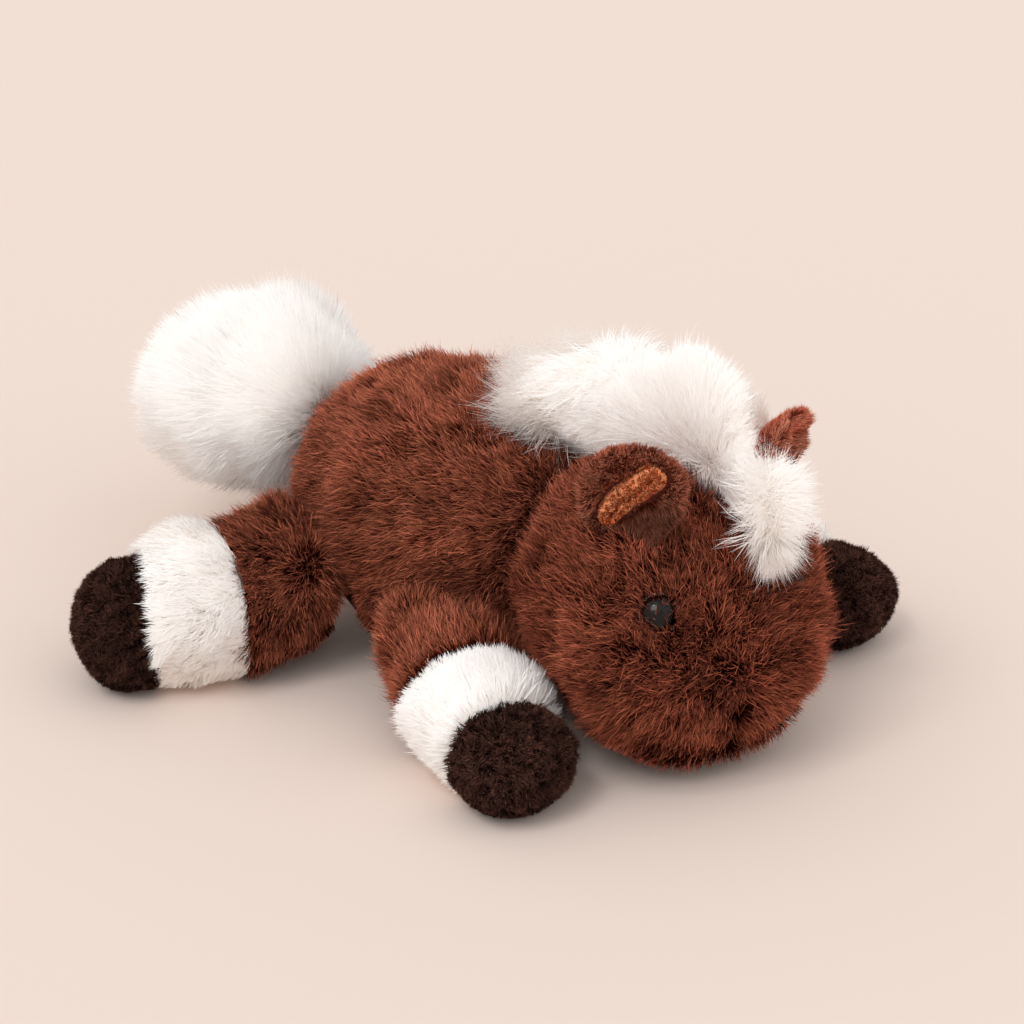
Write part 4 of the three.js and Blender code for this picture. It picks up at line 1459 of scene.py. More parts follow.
@dataclass
class Pile:
    """The pile of one skin: where it grows and which way it is combed.

    Attributes:
        keep: Chance of a tuft, from 0 to 1.
        reach: Length as a share of the coat's.
        painted_shade: Painted shade, which is added to the tint.
        carve: Extra depth of the skin.
        stand: Lift as a share of the coat's.
    """

    form: Form
    skin: Skin
    coat: Coat
    comb: Mask
    finish: Finish
    seed: int
    keep: Mask = level(1.0)
    reach: Mask = level(1.0)
    painted_shade: Mask = level(0.0)
    carve: Mask = level(0.0)
    stand: Mask = level(1.0)

    def roots(self, draw: np.random.Generator) -> tuple:
        """Draws the tufts' roots evenly over the form, and thins them by the keep mask.

        Args:
            draw: The source of random numbers.

        Returns:
            The roots and the normals there.
        """
        steps, (first, last) = GROWTH.grid, GROWTH.edges
        a, r = np.meshgrid(np.linspace(first, last, steps + 1), np.linspace(0, 1, steps + 1), indexing="ij")
        grid = self.form.point(a.ravel(), r.ravel()).reshape(steps + 1, steps + 1, 3)
        down, over = grid[1:, :-1] - grid[:-1, :-1], grid[:-1, 1:] - grid[:-1, :-1]
        areas = np.linalg.norm(np.cross(down, over), axis=-1).ravel()
        count = int(areas.sum() / MM ** 2 * self.coat.per_mm2 / self.coat.tuft)
        cell = draw.choice(len(areas), count, p=areas / areas.sum())
        along = first + (last - first) * (cell // steps + draw.random(count)) / steps
        around = (cell % steps + draw.random(count)) / steps
        points, normals = self.skin.drawn_in(self.form, along, around, self.carve)
        chance = np.where(normals[:, 2] < GROWTH.underside, GROWTH.under_share, 1.0)
        chance = chance * self.keep(points, normals)
        kept = draw.random(count) < chance
        return points[kept], normals[kept]

    def lies(self, draw: np.random.Generator, roots: Array, normals: Array) -> tuple:
        """The combed direction of each tuft, which wanders and is random where the comb is weak.

        Args:
            draw: The source of random numbers.
            roots: The tufts' roots.
            normals: The normals there.

        Returns:
            Directions along the skin and across the tuft.
        """
        combed = self.comb(roots, normals)
        combed = combed - normals * dot(combed, normals)
        loose = 1 - np.linalg.norm(combed, axis=1).clip(0, GROWTH.loose_under) / GROWTH.loose_under
        wander = math.radians(self.coat.wander)
        swirl = Waves(self.coat.patch, self.seed + 1)(roots) * wander
        each = wander * GROWTH.wander_share + GROWTH.loose_turn * loose
        swirl = swirl + draw.normal(0, 1, len(roots)) * each
        lie = unit(combed)
        lie = lie * np.cos(swirl)[:, None] + np.cross(normals, lie) * np.sin(swirl)[:, None]
        return lie, np.cross(normals, lie)

    def paths(self, draw: np.random.Generator, roots: Array, normals: Array, lie: Array) -> tuple:
        """The bent middle line of each tuft.

        Args:
            draw: The source of random numbers.
            roots: The tufts' roots.
            normals: The normals there.
            lie: The tufts' directions along the skin.

        Returns:
            Paths from the root (tufts, rings, 3) and the tufts' lengths.
        """
        coat, count = self.coat, len(roots)
        length = coat.length * np.exp(draw.normal(0, coat.spread * GROWTH.length_share, count))
        patch = coat.patch * GROWTH.length_patch
        length = length * (1 + GROWTH.waves * Waves(patch, self.seed + 2)(roots))
        length = length * (1 - GROWTH.press * self.skin.pressed * ease(-normals[:, 2], *GROWTH.press_from))
        length = length * self.reach(roots, normals)
        lift = math.radians(coat.lift) * (1 + GROWTH.waves * Waves(coat.patch, self.seed + 3)(roots))
        lift = lift * self.stand(roots, normals) + draw.normal(0, GROWTH.lift_spread, count)
        rings = np.arange(coat.segments) + 0.5
        angle = lift[:, None] + math.radians(coat.droop) * (rings / coat.segments)[None]
        angle = np.clip(angle, *GROWTH.angles)[..., None]
        steps = np.cos(angle) * lie[:, None] + np.sin(angle) * normals[:, None]
        steps = steps * (length / coat.segments)[:, None, None]
        return np.concatenate([np.zeros((count, 1, 3)), np.cumsum(steps, 1)], 1), length

    def grow(self) -> Strands:
        """Grows every strand, with some longer-reaching, brighter guard hairs among them.

        Returns:
            The strands.
        """
        coat = self.coat
        draw = np.random.default_rng(self.seed)
        roots, normals = self.roots(draw)
        lie, aside = self.lies(draw, roots, normals)
        path, length = self.paths(draw, roots, normals, lie)
        strands = np.repeat(np.arange(len(roots)), coat.tuft)
        total = len(strands)
        guard = draw.random(total) < coat.bright
        radius = coat.tuft_radius * np.sqrt(draw.random(total))
        turn = draw.uniform(0, FULL_TURN, total)
        offset = lie[strands] * (radius * np.cos(turn))[:, None]
        offset = offset + aside[strands] * (radius * np.sin(turn))[:, None]
        place = np.linspace(0, 1, coat.segments + 1)
        scale = (1 - np.abs(draw.normal(0, coat.spread, total))).clip(*GROWTH.scales)
        reach = length[strands]
        drift = draw.normal(0, coat.stray, (total, 3)) * (reach * (1 + GROWTH.guard_drift * guard))[:, None]
        curl = draw.normal(0, coat.curl, (total, 3)) * reach[:, None]
        points = path[strands] * scale[:, None, None]
        points = points + offset[:, None] * (1 - coat.gather * place ** GROWTH.gather_power)[None, :, None]
        points = points + drift[:, None] * (place ** GROWTH.drift_power)[None, :, None]
        points = points + roots[strands][:, None]
        points = points + curl[:, None] * np.sin(np.pi * place)[None, :, None]
        points[:, 0] -= normals[strands] * GROWTH.root_depth
        least = FLOOR_GAP + GROWTH.floor_spread * draw.random(total)[:, None]
        points[..., 2] = np.maximum(points[..., 2], least)
        out = unit(normals[strands] + coat.roll * draw.normal(size=(total, 3)))
        tint = coat.tone + GROWTH.tint_spread * Waves(GROWTH.tint_patch, self.seed + 4)(roots)
        # The shade mask adds painted shade to each tuft's tint.
        tint = tint + draw.normal(0, GROWTH.tint_spread, len(roots)) + self.painted_shade(roots, normals)
        tint = tint[strands] + draw.normal(0, GROWTH.strand_spread, total) + GROWTH.guard_tint * guard
        thick = 1 + GROWTH.guard_thick * guard
        return Strands(points, out, normals[strands], np.clip(tint, *GROWTH.tints), thick)

    def build(self, place: Place) -> None:
        """Makes the strands into pieces that each stay small enough to keep every strand.

        Args:
            place: What the new pieces are.
        """
        strands = self.grow()
        parts = max(1, math.ceil(len(strands.points) / (PIECE_TRIANGLES // self.coat.triangles)))
        for part in range(parts):
            name = place.name if parts == 1 else f"{place.name}_{part + 1}"
            piece = strands.part(slice(part, None, parts)).mesh(name, self.coat, self.finish)
            replace(place, name=name).seat(piece)


# Sub-assemblies


@dataclass
class Stuffed:
    """A stuffed part of the toy, whose pile gives way where it is sewn to its neighbours."""

    body: str
    form: Form
    neighbours: tuple

    def __post_init__(self) -> None:
        """Works out where the neighbours are in the way and where they press the pile."""
        self.clear = outside(SEWN_DEPTH, *self.neighbours)
        self.near = crowded(CROWD, *self.neighbours)

    def fabric(self, name: str, node: str, slot: Slot) -> Place:
        """What the backing that stands for a node is."""
        return Place(f"{name}_fabric", self.body, slot, (node,), SKIN_FILL)

    def stuff(self, form: Form, skin: Skin = FILLING_SKIN) -> None:
        """Makes the filling under a form.

        Args:
            form: The outer form.
            skin: How deep the filling lies.
        """
        nodes = (f"{self.body}_stuffing",)
        place = Place(f"{self.body}_filling", self.body, Slot.FILLING, nodes, FILLING_FILL)
        skin.make(form, place, FILLING_CLOTH)


@dataclass
class Torso(Stuffed):
    """The stuffed body."""

    comb: tuple = (-0.9, 0, -0.3)
    crowd_reach: float = 0.5
    # crowd_shade, wide and flank_shade set painted shade beside the limbs and the head and on the flanks.
    crowd_shade: float = 0.12
    wide: float = 5 * MM
    flank_shade: float = 0.22
    seed: int = 101

    def reach(self, points: Array, normals: Array) -> Array:
        """Shorter pile beside the limbs and the head."""
        return 1 - self.crowd_reach * self.near(points, normals)

    def painted_shade(self, points: Array, normals: Array) -> Array:
        """Painted shade: darker pile beside the limbs and the head, and on the flanks, which face sideways.

        Args:
            points: Places on the skin.
            normals: The normals there.

        Returns:
            What is added to the tint.
        """
        crowd = self.near(points, normals), crowded(self.wide, *self.neighbours)(points, normals)
        flank = self.flank_shade * (1 - normals[:, 2].clip(0, 1))
        return -self.crowd_shade * crowd[0] - self.crowd_shade * crowd[1] - flank

    def build(self) -> None:
        """Makes the skin, its filling and its pile."""
        BODY_SKIN.make(self.form, self.fabric("torso_skin", "torso_skin", Slot.BROWN), BROWN_CLOTH)
        self.stuff(self.form)
        pile = Pile(self.form, BODY_SKIN, BODY_COAT, directed(*self.comb), BROWN_PILE, self.seed, self.clear,
                    self.reach, self.painted_shade)
        pile.build(Place("torso_pile", self.body, Slot.BROWN))


@dataclass
class Leg(Stuffed):
    """One stuffed leg: brown sleeve, white sock and dark hoof. A front leg is combed towards the body."""

    front: bool
    seed: int
    whorl_share: float = 0.14
    whorl_depth_share: float = 0.36
    crowd_reach: float = 0.3
    # hind_shade is painted shade on the hind legs' pile.
    hind_shade: float = -0.18
    stuffed: tuple = (0.12, 0.94)

    def whorl(self, points: Array, normals: Array) -> Array:
        """Away from the whorl beside the seat, and towards the toe.

        Args:
            points: Places on the skin.
            normals: The normals there.

        Returns:
            The directions.
        """
        form = self.form
        middle, way = form.route(np.array([self.whorl_share]))
        aside = np.array([way[0, 1], -way[0, 0], 0]) * form.side
        at = middle[0] + unit(aside + 0.5 * UP) * form.sizes.sleeve[1] * self.whorl_depth_share
        return unit(points - at) + 0.5 * form.ahead

    def reach(self, points: Array, normals: Array) -> Array:
        """Shorter pile beside the torso and the head."""
        return 1 - self.crowd_reach * self.near(points, normals)

    def build(self) -> None:
        """Makes the three skins, their piles and the filling."""
        form, ahead = self.form, self.form.ahead
        onward = directed(*(ahead + np.array([0, 0, -0.1])))
        combs = (directed(*(0.8 * UP - 0.6 * ahead)), directed(*-ahead), onward)
        combs = combs if self.front else (self.whorl, onward, onward)
        rows = (
            (self.body, 0, form.sock_start, BODY_SKIN, BODY_COAT, BROWN_CLOTH, BROWN_PILE, Slot.BROWN),
            ("sock", form.sock_start + SEAM, form.hoof_start, SOCK_SKIN, SOCK_COAT, WHITE_CLOTH, WHITE_PILE,
             Slot.WHITE),
            ("hoof", form.hoof_start + SEAM, 1, HOOF_SKIN, HOOF_COAT, HOOF_CLOTH, HOOF_PILE, Slot.HOOF),
        )
        # The hind legs' pile gets painted shade; the front legs' gets none.
        painted_shade = level(0.0 if self.front else self.hind_shade)
        limb = self.body.removesuffix("leg")
        for index, (label, start, end, skin, coat, cloth, finish, slot) in enumerate(rows):
            name = f"{limb}{label}" if index else f"{self.body}_sleeve"
            span = SpanForm(form, start, end)
            skin.make(span, self.fabric(name, name, slot), cloth)
            pile = Pile(span, skin, coat, combs[index], finish, self.seed + 10 * index, self.clear,
                        self.reach, painted_shade)
            pile.build(Place(f"{name}_pile", self.body, slot))
        self.stuff(SpanForm(form, *self.stuffed))


@dataclass
class Eye:
    """A domed eye on its shank."""

    name: str
    at: Array
    out: Array
    radius: float = 5.9 * MM
    rise: float = 4.2 * MM
    sunk: float = 4.0 * MM
    flange: float = 1 * MM
    bevel: float = 0.4 * MM
    shank: float = 2 * MM
    shank_length: float = 12 * MM
    sides: int = 48
    rings: int = 12

    def build(self) -> None:
        """Turns the dome, its flange and its shank as one closed lathe form."""
        quarter = [math.pi / 2 * ring / self.rings for ring in range(self.rings)]
        profile = [
            (self.shank, -self.shank_length),
            (self.shank, -self.flange),
            (self.radius - self.bevel, -self.flange),
            (self.radius, -self.bevel),
            *((self.radius * math.cos(t), self.rise * math.sin(t)) for t in quarter),
        ]
        turn = np.linspace(0, FULL_TURN, self.sides, endpoint=False)
        first = unit(np.cross(self.out, UP))
        ring = np.cos(turn)[:, None] * first + np.sin(turn)[:, None] * np.cross(self.out, first)
        base = self.at - self.out * self.sunk
        rows = [base + self.out * height + radius * ring for radius, height in profile]
        ends = [base - self.out * self.shank_length], [base + self.out * self.rise]
        points = np.concatenate([*rows, *ends])
        material = EYE_GLOSS.material()
        piece = make_mesh(f"{self.name}_dome", points, ring_faces(len(profile), self.sides), material)
        Place(piece.name, "head", Slot.EYE, (self.name,)).seat(piece)


@dataclass
class Ear:
    """A cupped plush ear with a creased velour lining."""

    name: str
    form: EarForm
    lean: float
    seed: int
    fills: tuple = (0.3, 0.5)
    covered_near: float = 2.2 * MM
    tipward: float = 0.5
    # fold_half and fold_shade set painted shade in the lining's fold.
    fold_half: float = 0.9 * MM
    fold_shade: float = -0.7
    # hem_shade, hem_height, beside_shade, beside and beside_heights set painted shade on the leaf.
    hem_shade: float = 0.3
    hem_height: float = 0.5
    beside_shade: float = 0.55
    beside: tuple = (-0.2, 0.15)
    beside_heights: tuple = (0.35, 0.75)

    def __post_init__(self) -> None:
        """Works out the lining, points over it and its fold."""
        self.lining = LiningForm(self.form, self.lean)
        grid = np.meshgrid(np.linspace(0.1, 0.9, 12), [0.0, 0.25, 0.5])
        self.leaf = self.lining.point(*(g.ravel() for g in grid))
        self.fold = self.lining.point(np.linspace(0.2, 0.85, 24), np.full(24, 0.25))

    def bare(self, points: Array, normals: Array) -> Array:
        """0 where the lining lies on the leaf, else 1."""
        facing = normals @ self.form.facing_way > 0
        return np.where(facing & (nearest(points, self.leaf) < self.covered_near), 0.0, 1.0)

    def comb(self, points: Array, normals: Array) -> Array:
        """Away from the lining, and up to the ear's tip at its back."""
        return unit(points - self.leaf.mean(0)) + self.tipward * self.form.rise_way

    def creased(self, points: Array, normals: Array) -> Array:
        """Painted shade: darker in the fold between the two lobes."""
        return self.fold_shade * bell(nearest(points, self.fold), self.fold_half)

    def deep(self, points: Array, normals: Array) -> Array:
        """Painted shade: darker towards the hem, in the cup, and beside the lining's narrow end.

        Args:
            points: Places on the leaf.
            normals: The normals there.

        Returns:
            What is added to the tint.
        """
        form = self.form
        share = (points - form.hem) @ form.rise_way / form.height
        aside = self.lean * ((points - form.hem) @ form.across_way) / form.width
        beside = ease(aside, *self.beside) * (1 - ease(share, *self.beside_heights))
        beside = beside * (normals @ form.facing_way > 0)
        return -self.hem_shade * (1 - ease(share, 0, self.hem_height)) - self.beside_shade * beside

    def build(self) -> None:
        """Makes the leaf, its lining and their short piles."""
        name, rise = self.name, self.form.rise_way
        place = Place(f"{name}_fabric", name, Slot.BROWN, (name,), self.fills[0])
        EAR_SKIN.make(self.form, place, EAR_CLOTH)
        place = Place(f"{name}_velour", name, Slot.VELOUR, (f"{name}_lining",), self.fills[1])
        VELOUR_SKIN.make(self.lining, place, VELOUR_CLOTH)
        pile = Pile(self.form, EAR_SKIN, EAR_COAT, self.comb, EAR_PILE, self.seed, self.bare,
                    painted_shade=self.deep)
        pile.build(Place(f"{name}_pile", name, Slot.BROWN))
        velour = Pile(self.lining, VELOUR_SKIN, VELOUR_COAT, directed(*rise), VELOUR_PILE, self.seed + 10,
                      painted_shade=self.creased)
        velour.build(Place(f"{name}_velour_pile", name, Slot.VELOUR))


@dataclass
class Mane:
    """The strip of long pile, which falls off its ridge to both sides and both ends."""

    form: ManeForm
    body: str = "head"
    seed: int = 401
    fill: float = 0.6
    over_head: float = 2 * MM
    crest_shares: tuple = (0.1, 0.85)
    crest_points: int = 24
    settled: float = 0.55
    withers: tuple = (18 * MM, 46 * MM)
    forelock: tuple = (30 * MM, 44 * MM)
    sideways: tuple = (1.2, 0.7)
    endwards: tuple = (0.9, 0.6)
    spray_facing: tuple = (0.0, 0.5)
    spray_above: tuple = (-1.0, -0.6)
    spray_back: float = 0.7
    spray_aside: tuple = (0, -0.7, -0.4)
    stands: tuple = (1.1, 1.0, 0.6, 0.8)
    reaches: tuple = (0.5, 1.25, 1.9)
    front: tuple = (0.0, 30 * MM)
    front_reach: float = 0.76
    tip_reach: float = 0.6
    far: tuple = (0.0, 10 * MM)
    far_behind: tuple = (-30 * MM, -15 * MM, -8 * MM, 4 * MM)
    far_ahead: tuple = (12 * MM, 26 * MM)
    far_reach: float = 0.45

    def __post_init__(self) -> None:
        """Works out points of the crest, their directions and how they lean to the nearer end."""
        shares = np.linspace(*self.crest_shares, self.crest_points)
        self.crest = self.form.head.world(self.form.ridge(shares))
        self.lengthwise = self.form.head.way(self.form.axes(shares)[0])
        self.lean = (2 * shares - 1)[:, None] * self.lengthwise

    def away(self, points: Array, normals: Array) -> tuple:
        """How the pile falls off the crest.

        Args:
            points: Places on the mane's backing.
            normals: The normals there.

        Returns:
            Directions off the crest along the skin, their strength, and the lean of the crest there.
        """
        apart = points[:, None] - self.crest[None]
        closest = np.linalg.norm(apart, axis=-1).argmin(1)
        off = unit(np.take_along_axis(apart, closest[:, None, None], 1)[:, 0])
        along = off - normals * dot(off, normals)
        return along, ease(np.linalg.norm(along, axis=1), 0, self.settled), self.lean[closest]

    def ends(self, points: Array) -> tuple:
        """How near points are to the withers and to the forelock's tip, from 0 to 1."""
        forward = self.form.head.local(points)[:, 0]
        return ease(-forward, *self.withers), ease(forward, *self.forelock)

    def spray(self, points: Array, normals: Array) -> Array:
        """From 0 to 1 where the mane ends over the withers and its pile fans out backwards."""
        facing = ease(normals @ self.lengthwise[-1], *self.spray_facing)
        return self.ends(points)[0] * facing * ease(-normals[:, 2], *self.spray_above)

    def comb(self, points: Array, normals: Array) -> Array:
        """Off the crest and to the nearer end, and backwards in the spray.

        Args:
            points: Places on the mane's backing.
            normals: The normals there.

        Returns:
            The directions.
        """
        along, _, leaning = self.away(points, normals)
        back, _ = self.ends(points)
        lie = along * (self.sideways[0] - self.sideways[1] * back)[:, None]
        lie = lie + leaning * (self.endwards[0] + self.endwards[1] * back)[:, None]
        fan = self.spray_back * self.lengthwise[-1] + np.array(self.spray_aside)
        return mix(lie, fan, self.spray(points, normals)[:, None])

    def stand(self, points: Array, normals: Array) -> Array:
        """Flatter pile at both ends.

        Args:
            points: Places on the skin.
            normals: The normals there.

        Returns:
            Shares of the coat's lift.
        """
        crest, side, end, spray = self.stands
        flat = mix(mix(crest, side, self.away(points, normals)[1]), end, np.maximum(*self.ends(points)))
        return mix(flat, spray, self.spray(points, normals))

    def reach(self, points: Array, normals: Array) -> Array:
        """Shorter pile on the crest, on the face and on the far side, longer at both ends.

        Args:
            points: Places on the mane's backing.
            normals: The normals there.

        Returns:
            Shares of the coat's length.
        """
        local = self.form.head.local(points)
        back, tip = self.ends(points)
        rear = self.far_behind
        behind = ease(local[:, 0], rear[0], rear[1]) * (1 - ease(local[:, 0], rear[2], rear[3]))
        far = ease(local[:, 1], *self.far) * (behind + ease(local[:, 0], *self.far_ahead))
        crest, end, spray = self.reaches
        loose = mix(mix(crest, 1.0, self.away(points, normals)[1]), end, back)
        loose = mix(loose, spray, self.spray(points, normals))
        front = mix(1.0, self.front_reach, ease(local[:, 0], *self.front))
        return loose * front * (1 - self.far_reach * far * (1 - tip)) * (1 + self.tip_reach * tip)

    def build(self) -> None:
        """Makes the mane's backing and its long pile."""
        place = Place("mane_backing", self.body, Slot.LONG, ("mane",), self.fill)
        MANE_SKIN.make(self.form, place, WHITE_CLOTH)
        keep = outside(self.over_head, self.form.head)
        pile = Pile(self.form, MANE_SKIN, MANE_COAT, self.comb, LONG_PILE, self.seed, keep, self.reach,
                    stand=self.stand)
        pile.build(Place("mane_pile", self.body, Slot.LONG))


@dataclass
class Head(Stuffed):
    """The stuffed head with its face, ears, eyes and mane.

    Attributes:
        veil: Distance from the left eye and half width of the longer pile that hides it from the right.
    """

    nose_height: float = -12 * MM
    nose_bare: tuple = (0.7, 8 * MM)
    mouth_height: float = -19 * MM
    mouth_half: float = 4.8 * MM
    mouth_depth: float = 6.5 * MM
    mouth_bare: tuple = (0.25, 3.5 * MM, 10 * MM)
    slot_half: float = 3.4 * MM
    # slot_shade is painted shade in the mouth's slot.
    slot_shade: float = 0.2
    seam_width: float = 2.4 * MM
    seam_end: float = -33 * MM
    seam_fade: float = 4 * MM
    seam_depth: float = 1.8 * MM
    crease_from: tuple = (0.45, 0.75)
    parting: float = 1.3
    parting_half: float = 5 * MM
    parting_fade: float = 6 * MM
    eye_place: tuple = (0.77, 52.0)
    eye_ring: float = 6.9 * MM
    eye_comb: float = 8 * MM
    eye_bare: tuple = (0.8, 5 * MM, 10 * MM)
    veil: tuple = (9 * MM, 3 * MM)
    veil_side: float = 4 * MM
    veil_reach: float = 0.4
    ear_place: tuple = (0.34, 60.0)
    ear_lean: tuple = (0.27, 0.13)
    ear_facing: float = 0.62
    hem_radius: float = 3.2 * MM
    crowd_reach: float = 0.4
    # crowd_shade, behind and behind_shade set painted shade beside the neighbours and at the back of the
    # head.
    crowd_shade: float = 0.3
    behind: tuple = (-10 * MM, 35 * MM)
    behind_shade: float = 0.1
    seed: int = 201

    def __post_init__(self) -> None:
        """Works out where the eyes, nose and mouth are, and how strongly the pile parts round each eye."""
        super().__post_init__()
        share, angle = self.eye_place
        angles = {"left_eye": angle, "right_eye": 180 - angle}
        self.eyes = {name: self.form.spot(share, turn) for name, turn in angles.items()}
        self.parted = {"left_eye": 0.4, "right_eye": 3.0}
        self.nose = self.form.world(np.array([self.form.reach, 0, self.nose_height]))
        self.mouth = self.form.world(np.array([self.form.reach, 0, self.mouth_height]))

    def ear(self, side: float) -> EarForm:
        """The form of the ear on one side.

        Args:
            side: 1 for the left ear, -1 for the right one.

        Returns:
            The ear's form.
        """
        share, angle = self.ear_place
        at, out = self.form.spot(share, angle if side > 0 else 180 - angle)
        rise = unit(self.form.way([*self.ear_lean, 1]))
        across = unit(np.cross(rise, self.form.way([1, side * self.ear_facing, 0])))
        return EarForm(at - out * self.hem_radius / 3, rise, across, unit(np.cross(across, rise)))

    def crease(self, points: Array, normals: Array) -> Array:
        """Depth of the mouth and of the seam under it.

        Args:
            points: Places on the head.
            normals: The normals there.

        Returns:
            Depths in metres.
        """
        local = self.form.local(points)
        start, full = self.crease_from
        front = ease(local[:, 0], start * self.form.reach, full * self.form.reach)
        mouth = bell(local[:, 2] - self.mouth_height, self.mouth_half, 4)
        below = ease(-local[:, 2], -self.mouth_height, -self.mouth_height + self.seam_fade)
        below = below * ease(local[:, 2], self.seam_end - self.seam_fade, self.seam_end)
        depth = self.mouth_depth * mouth + self.seam_depth * below
        return front * bell(local[:, 1], self.seam_width) * depth

    def slot(self, points: Array) -> Array:
        """From 0 to 1 in the bare slot of the mouth.

        Args:
            points: Places on the head.

        Returns:
            The mask's values.
        """
        local = self.form.local(points)
        down = bell(local[:, 2] - self.mouth_height, self.mouth_half, 4)
        return bell(local[:, 1], self.slot_half, 4) * down * (local[:, 0] > 0)

    def comb(self, points: Array, normals: Array) -> Array:
        """Pile that sweeps away from the nose and parts round the eyes and the mouth.

        Args:
            points: Places on the head.
            normals: The normals there.

        Returns:
            The directions.
        """
        lie = flat_to(points - self.nose, normals)
        for name, (at, _) in self.eyes.items():
            near = bell(distance(points, at), self.eye_comb)
            lie = unit(lie + self.parted[name] * near[:, None] * flat_to(points - at, normals))
        local = self.form.local(points)
        below = ease(-local[:, 2], -self.nose_height, -self.nose_height + self.parting_fade)
        parting = self.parting * bell(local[:, 1], self.parting_half) * below * (local[:, 0] > 0)
        sideways = self.form.way(np.sign(local[:, 1])[:, None] * np.array([0.0, 1.0, 0.0]))
        return unit(lie + parting[:, None] * sideways)

    def near_eye(self, points: Array) -> Array:
        """Distance to the nearer eye."""
        return np.min([distance(points, at) for at, _ in self.eyes.values()], 0)

    def keep(self, points: Array, normals: Array) -> Array:
        """No pile on the eyes, in the mouth's slot and inside the neighbours."""
        free = self.clear(points, normals) * (self.near_eye(points) > self.eye_ring)
        return free * (1 - self.slot(points))

    def reach(self, points: Array, normals: Array) -> Array:
        """Shorter pile at the nose, the mouth, the eyes and the neighbours.

        Args:
            points: Places on the head.
            normals: The normals there.

        Returns:
            Shares of the coat's length.
        """
        rows = ((self.near_eye(points), *self.eye_bare), (distance(points, self.mouth), *self.mouth_bare),
                (distance(points, self.nose), self.nose_bare[0], 0, self.nose_bare[1]))
        result = 1.0
        for apart, least, start, end in rows:
            result = result * mix(least, 1.0, ease(apart, start, end))
        left, _ = self.eyes["left_eye"]
        veil = bell(distance(points, left) - self.veil[0], self.veil[1])
        veil = veil * ease(-((points - left) @ self.form.way([0, 1, 0])), 0, self.veil_side)
        return result * (1 - self.crowd_reach * self.near(points, normals)) * (1 + self.veil_reach * veil)

    def painted_shade(self, points: Array, normals: Array) -> Array:
        """Painted shade: darker pile beside the neighbours, in the mouth's slot and behind the face.

        Args:
            points: Places on the skin.
            normals: The normals there.

        Returns:
            What is added to the tint.
        """
        behind = 1 - ease(self.form.local(points)[:, 0], *self.behind)
        return (-self.crowd_shade * self.near(points, normals) - self.slot_shade * self.slot(points)
                - self.behind_shade * behind)

    def build(self) -> None:
        """Makes the head's skin and pile, and all that is sewn to it."""
        fabric = self.fabric("head_skin", "head_skin", Slot.BROWN)
        FACE_SKIN.make(self.form, fabric, BROWN_CLOTH, self.crease)
        self.stuff(self.form, HEAD_FILLING_SKIN)
        pile = Pile(self.form, FACE_SKIN, FACE_COAT, self.comb, SHADED_FACE_PILE, self.seed, self.keep, self.reach,
                    self.painted_shade, self.crease)
        pile.build(Place("head_pile", self.body, Slot.BROWN))
        for name, (at, out) in self.eyes.items():
            Eye(name, at, out).build()
        for name, side, seed in (("right_ear", -1.0, 301), ("left_ear", 1.0, 321)):
            Ear(name, self.ear(side), -side, seed).build()
        Mane(ManeForm(self.form)).build()


@dataclass
class Tail:
    """The tail's brush of long white pile."""

    form: BrushForm = field(default_factory=BrushForm)
    root: tuple = (-61 * MM, 0, 66 * MM)
    back: tuple = (-0.25, 0, 0.05)
    reaches: tuple = (0.94, 0.16)
    longer: tuple = (-115 * MM, -85 * MM)
    end_stand: float = 1.45
    end_from: tuple = (0.75, 0.95)
    fill: float = 0.6
    seed: int = 501

    def comb(self, points: Array, normals: Array) -> Array:
        """Away from the root, and backwards."""
        return unit(points - np.array(self.root)) + np.array(self.back)

    def reach(self, points: Array, normals: Array) -> Array:
        """Longer pile on top, towards the rump."""
        return self.reaches[0] + self.reaches[1] * ease(points[:, 0], *self.longer) * (normals[:, 2] > 0)

    def stand(self, points: Array, normals: Array) -> Array:
        """The pile stands up where it parts at the brush's end."""
        return mix(1.0, self.end_stand, ease(-normals[:, 0], *self.end_from))

    def build(self) -> None:
        """Makes the brush's core and its radiating pile."""
        place = Place("tail_core", "tail", Slot.WHITE, ("tail_base", "tail_fur"), self.fill)
        TAIL_SKIN.make(self.form, place, WHITE_CLOTH)
        pile = Pile(self.form, TAIL_SKIN, TAIL_COAT, self.comb, LONG_PILE, self.seed, reach=self.reach,
                    stand=self.stand)
        pile.build(Place("tail_pile", "tail", Slot.LONG))


# Studio


@dataclass(frozen=True)
class Lamp:
    """A wide, even lamp, which lights the whole floor alike. Angles are degrees."""

    name: str
    azimuth: float
    elevation: float
    angle: float
    strength: float


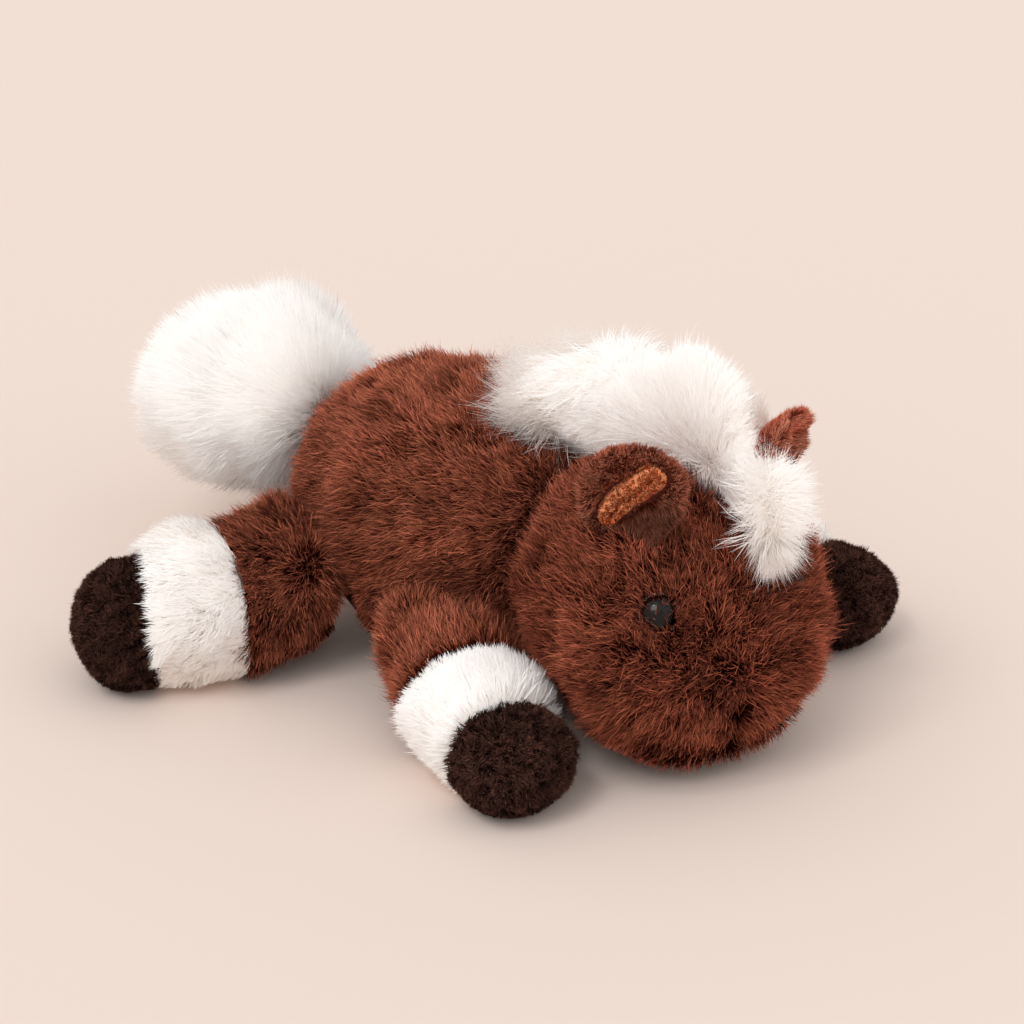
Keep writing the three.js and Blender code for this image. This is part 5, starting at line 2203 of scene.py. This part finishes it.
@dataclass(frozen=True)
class Studio:
    """Pale floor, soft lamps and the camera."""

    aim: tuple = (19 * MM, 0.0, 55 * MM)
    azimuth: float = 42.0
    elevation: float = 27.0
    distance: float = 1.2
    lens: float = 122.34
    sensor: float = 36.0
    clip: tuple = (0.01, 50.0)
    floor_size: float = 8.0
    backdrop: Colour = linear(239, 223, 212)
    floor_colour: Colour = linear(232, 215, 205)
    surround: Colour = (1.0, 0.985, 0.97, 1.0)
    surround_strength: float = 0.775
    bounces: tuple = (16, 20)
    lamps: tuple = (
        Lamp("key", 10, 56, 60, 0.3),
        Lamp("window", 2, 54, 28, 0.68),
        Lamp("glint", 350, 62, 5, 0.1),
        Lamp("fill", 105, 38, 60, 0.25),
    )

    def mount(self, name: str, data: bpy.types.ID, azimuth: float, elevation: float,
              far: float) -> bpy.types.Object:
        """Sets up a camera or lamp that looks at the object.

        Args:
            name: Its name.
            data: The camera or lamp.
            azimuth: Where it stands round the object, in degrees.
            elevation: How high it stands, in degrees.
            far: How far away it stands.

        Returns:
            The new object.
        """
        a, e = math.radians(azimuth), math.radians(elevation)
        way = Vector((math.sin(a) * math.cos(e), -math.cos(a) * math.cos(e), math.sin(e)))
        mounted = show(name, data)
        mounted.location = Vector(self.aim) + way * far
        mounted.rotation_mode = "QUATERNION"
        mounted.rotation_quaternion = (-way).to_track_quat("-Z", "Y")
        return mounted

    def camera(self) -> None:
        """Adds the camera."""
        data = bpy.data.cameras.new("camera")
        data.lens, data.sensor_width = self.lens, self.sensor
        data.clip_start, data.clip_end = self.clip
        bpy.context.scene.camera = self.mount("camera", data, self.azimuth, self.elevation, self.distance)

    def light(self) -> None:
        """Adds the lamps."""
        for lamp in self.lamps:
            data = bpy.data.lights.new(lamp.name, "SUN")
            data.angle, data.energy = math.radians(lamp.angle), lamp.strength
            self.mount(lamp.name, data, lamp.azimuth, lamp.elevation, 1.0)

    def floor(self) -> None:
        """Adds the floor, which keeps the object's shadow."""
        material = bpy.data.materials.new("floor")
        material.use_nodes = True
        nodes = Nodes(material.node_tree)
        diffuse = nodes.add("ShaderNodeBsdfDiffuse", {"Color": self.floor_colour})
        nodes.add("ShaderNodeOutputMaterial", {0: diffuse.outputs[0]})
        half = self.floor_size / 2
        corners = [(-half, -half, 0), (half, -half, 0), (half, half, 0), (-half, half, 0)]
        make_mesh("floor", corners, [(0, 1, 2, 3)], material)

    def world(self) -> None:
        """Sets an even pale surround, which camera, glossy and transmission rays see as the backdrop."""
        world = bpy.data.worlds.new("surround")
        bpy.context.scene.world = world
        world.use_nodes = True
        nodes = Nodes(world.node_tree)
        pale = {"Color": self.surround, "Strength": self.surround_strength}
        light = nodes.add("ShaderNodeBackground", pale)
        seen = nodes.add("ShaderNodeBackground", {"Color": self.backdrop, "Strength": 1.0})
        ray = nodes.add("ShaderNodeLightPath").outputs
        plain = nodes.maths("MAXIMUM", ray["Is Camera Ray"], ray["Is Glossy Ray"])
        plain = nodes.maths("MAXIMUM", plain, ray["Is Transmission Ray"])
        nodes.add("ShaderNodeOutputWorld", {0: nodes.both(plain, light.outputs[0], seen.outputs[0])})

    def build(self) -> None:
        """Sets the whole studio."""
        self.camera()
        self.floor()
        self.world()
        self.light()
        scene = bpy.context.scene
        scene.view_settings.view_transform = "Standard"
        scene.cycles.diffuse_bounces, scene.cycles.max_bounces = self.bounces


def leg_forms() -> dict:
    """The four legs' forms by body.

    Returns:
        The forms by body name.
    """
    front, hind = 19 * MM, -35 * MM
    slim = LegSizes(21.5 * MM, (49 * MM, 44 * MM), (52 * MM, 44 * MM), (44 * MM, 36 * MM))
    plump = LegSizes(23.5 * MM, (57 * MM, 55 * MM), (59 * MM, 57 * MM), (48 * MM, 45 * MM))
    return {
        "front_right_leg": LegForm(-1, 97 * MM, -26, -10 * MM, front, slim),
        "front_left_leg": LegForm(1, 110 * MM, 26, 22 * MM, front, slim),
        "hind_right_leg": LegForm(-1, 91 * MM, -119, 10 * MM, hind, plump),
        "hind_left_leg": LegForm(1, 91 * MM, 122, -10 * MM, hind, plump),
    }


def dress_hidden() -> None:
    """Gives the lock washers behind the skin their own finish."""
    for name in ("right_eye_washer", "left_eye_washer"):
        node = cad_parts[name]
        node.data.materials.clear()
        node.data.materials.append(WASHER_PLASTIC.material())
        log.info("%s keeps its shape", name)


def main() -> None:
    """Builds the studio and every sub-assembly in order."""
    logging.basicConfig(level=logging.INFO, format="%(message)s")
    Studio().build()
    torso, head, legs = TorsoForm(), HeadForm(), leg_forms()
    Torso("torso", torso, (head, *legs.values())).build()
    for index, (body, form) in enumerate(legs.items()):
        Leg(body, form, (torso, head), body.startswith("front"), 601 + 50 * index).build()
    Head("head", head, (torso, legs["front_right_leg"], legs["front_left_leg"])).build()
    Tail().build()
    dress_hidden()


if __name__ == "__main__":
    main()
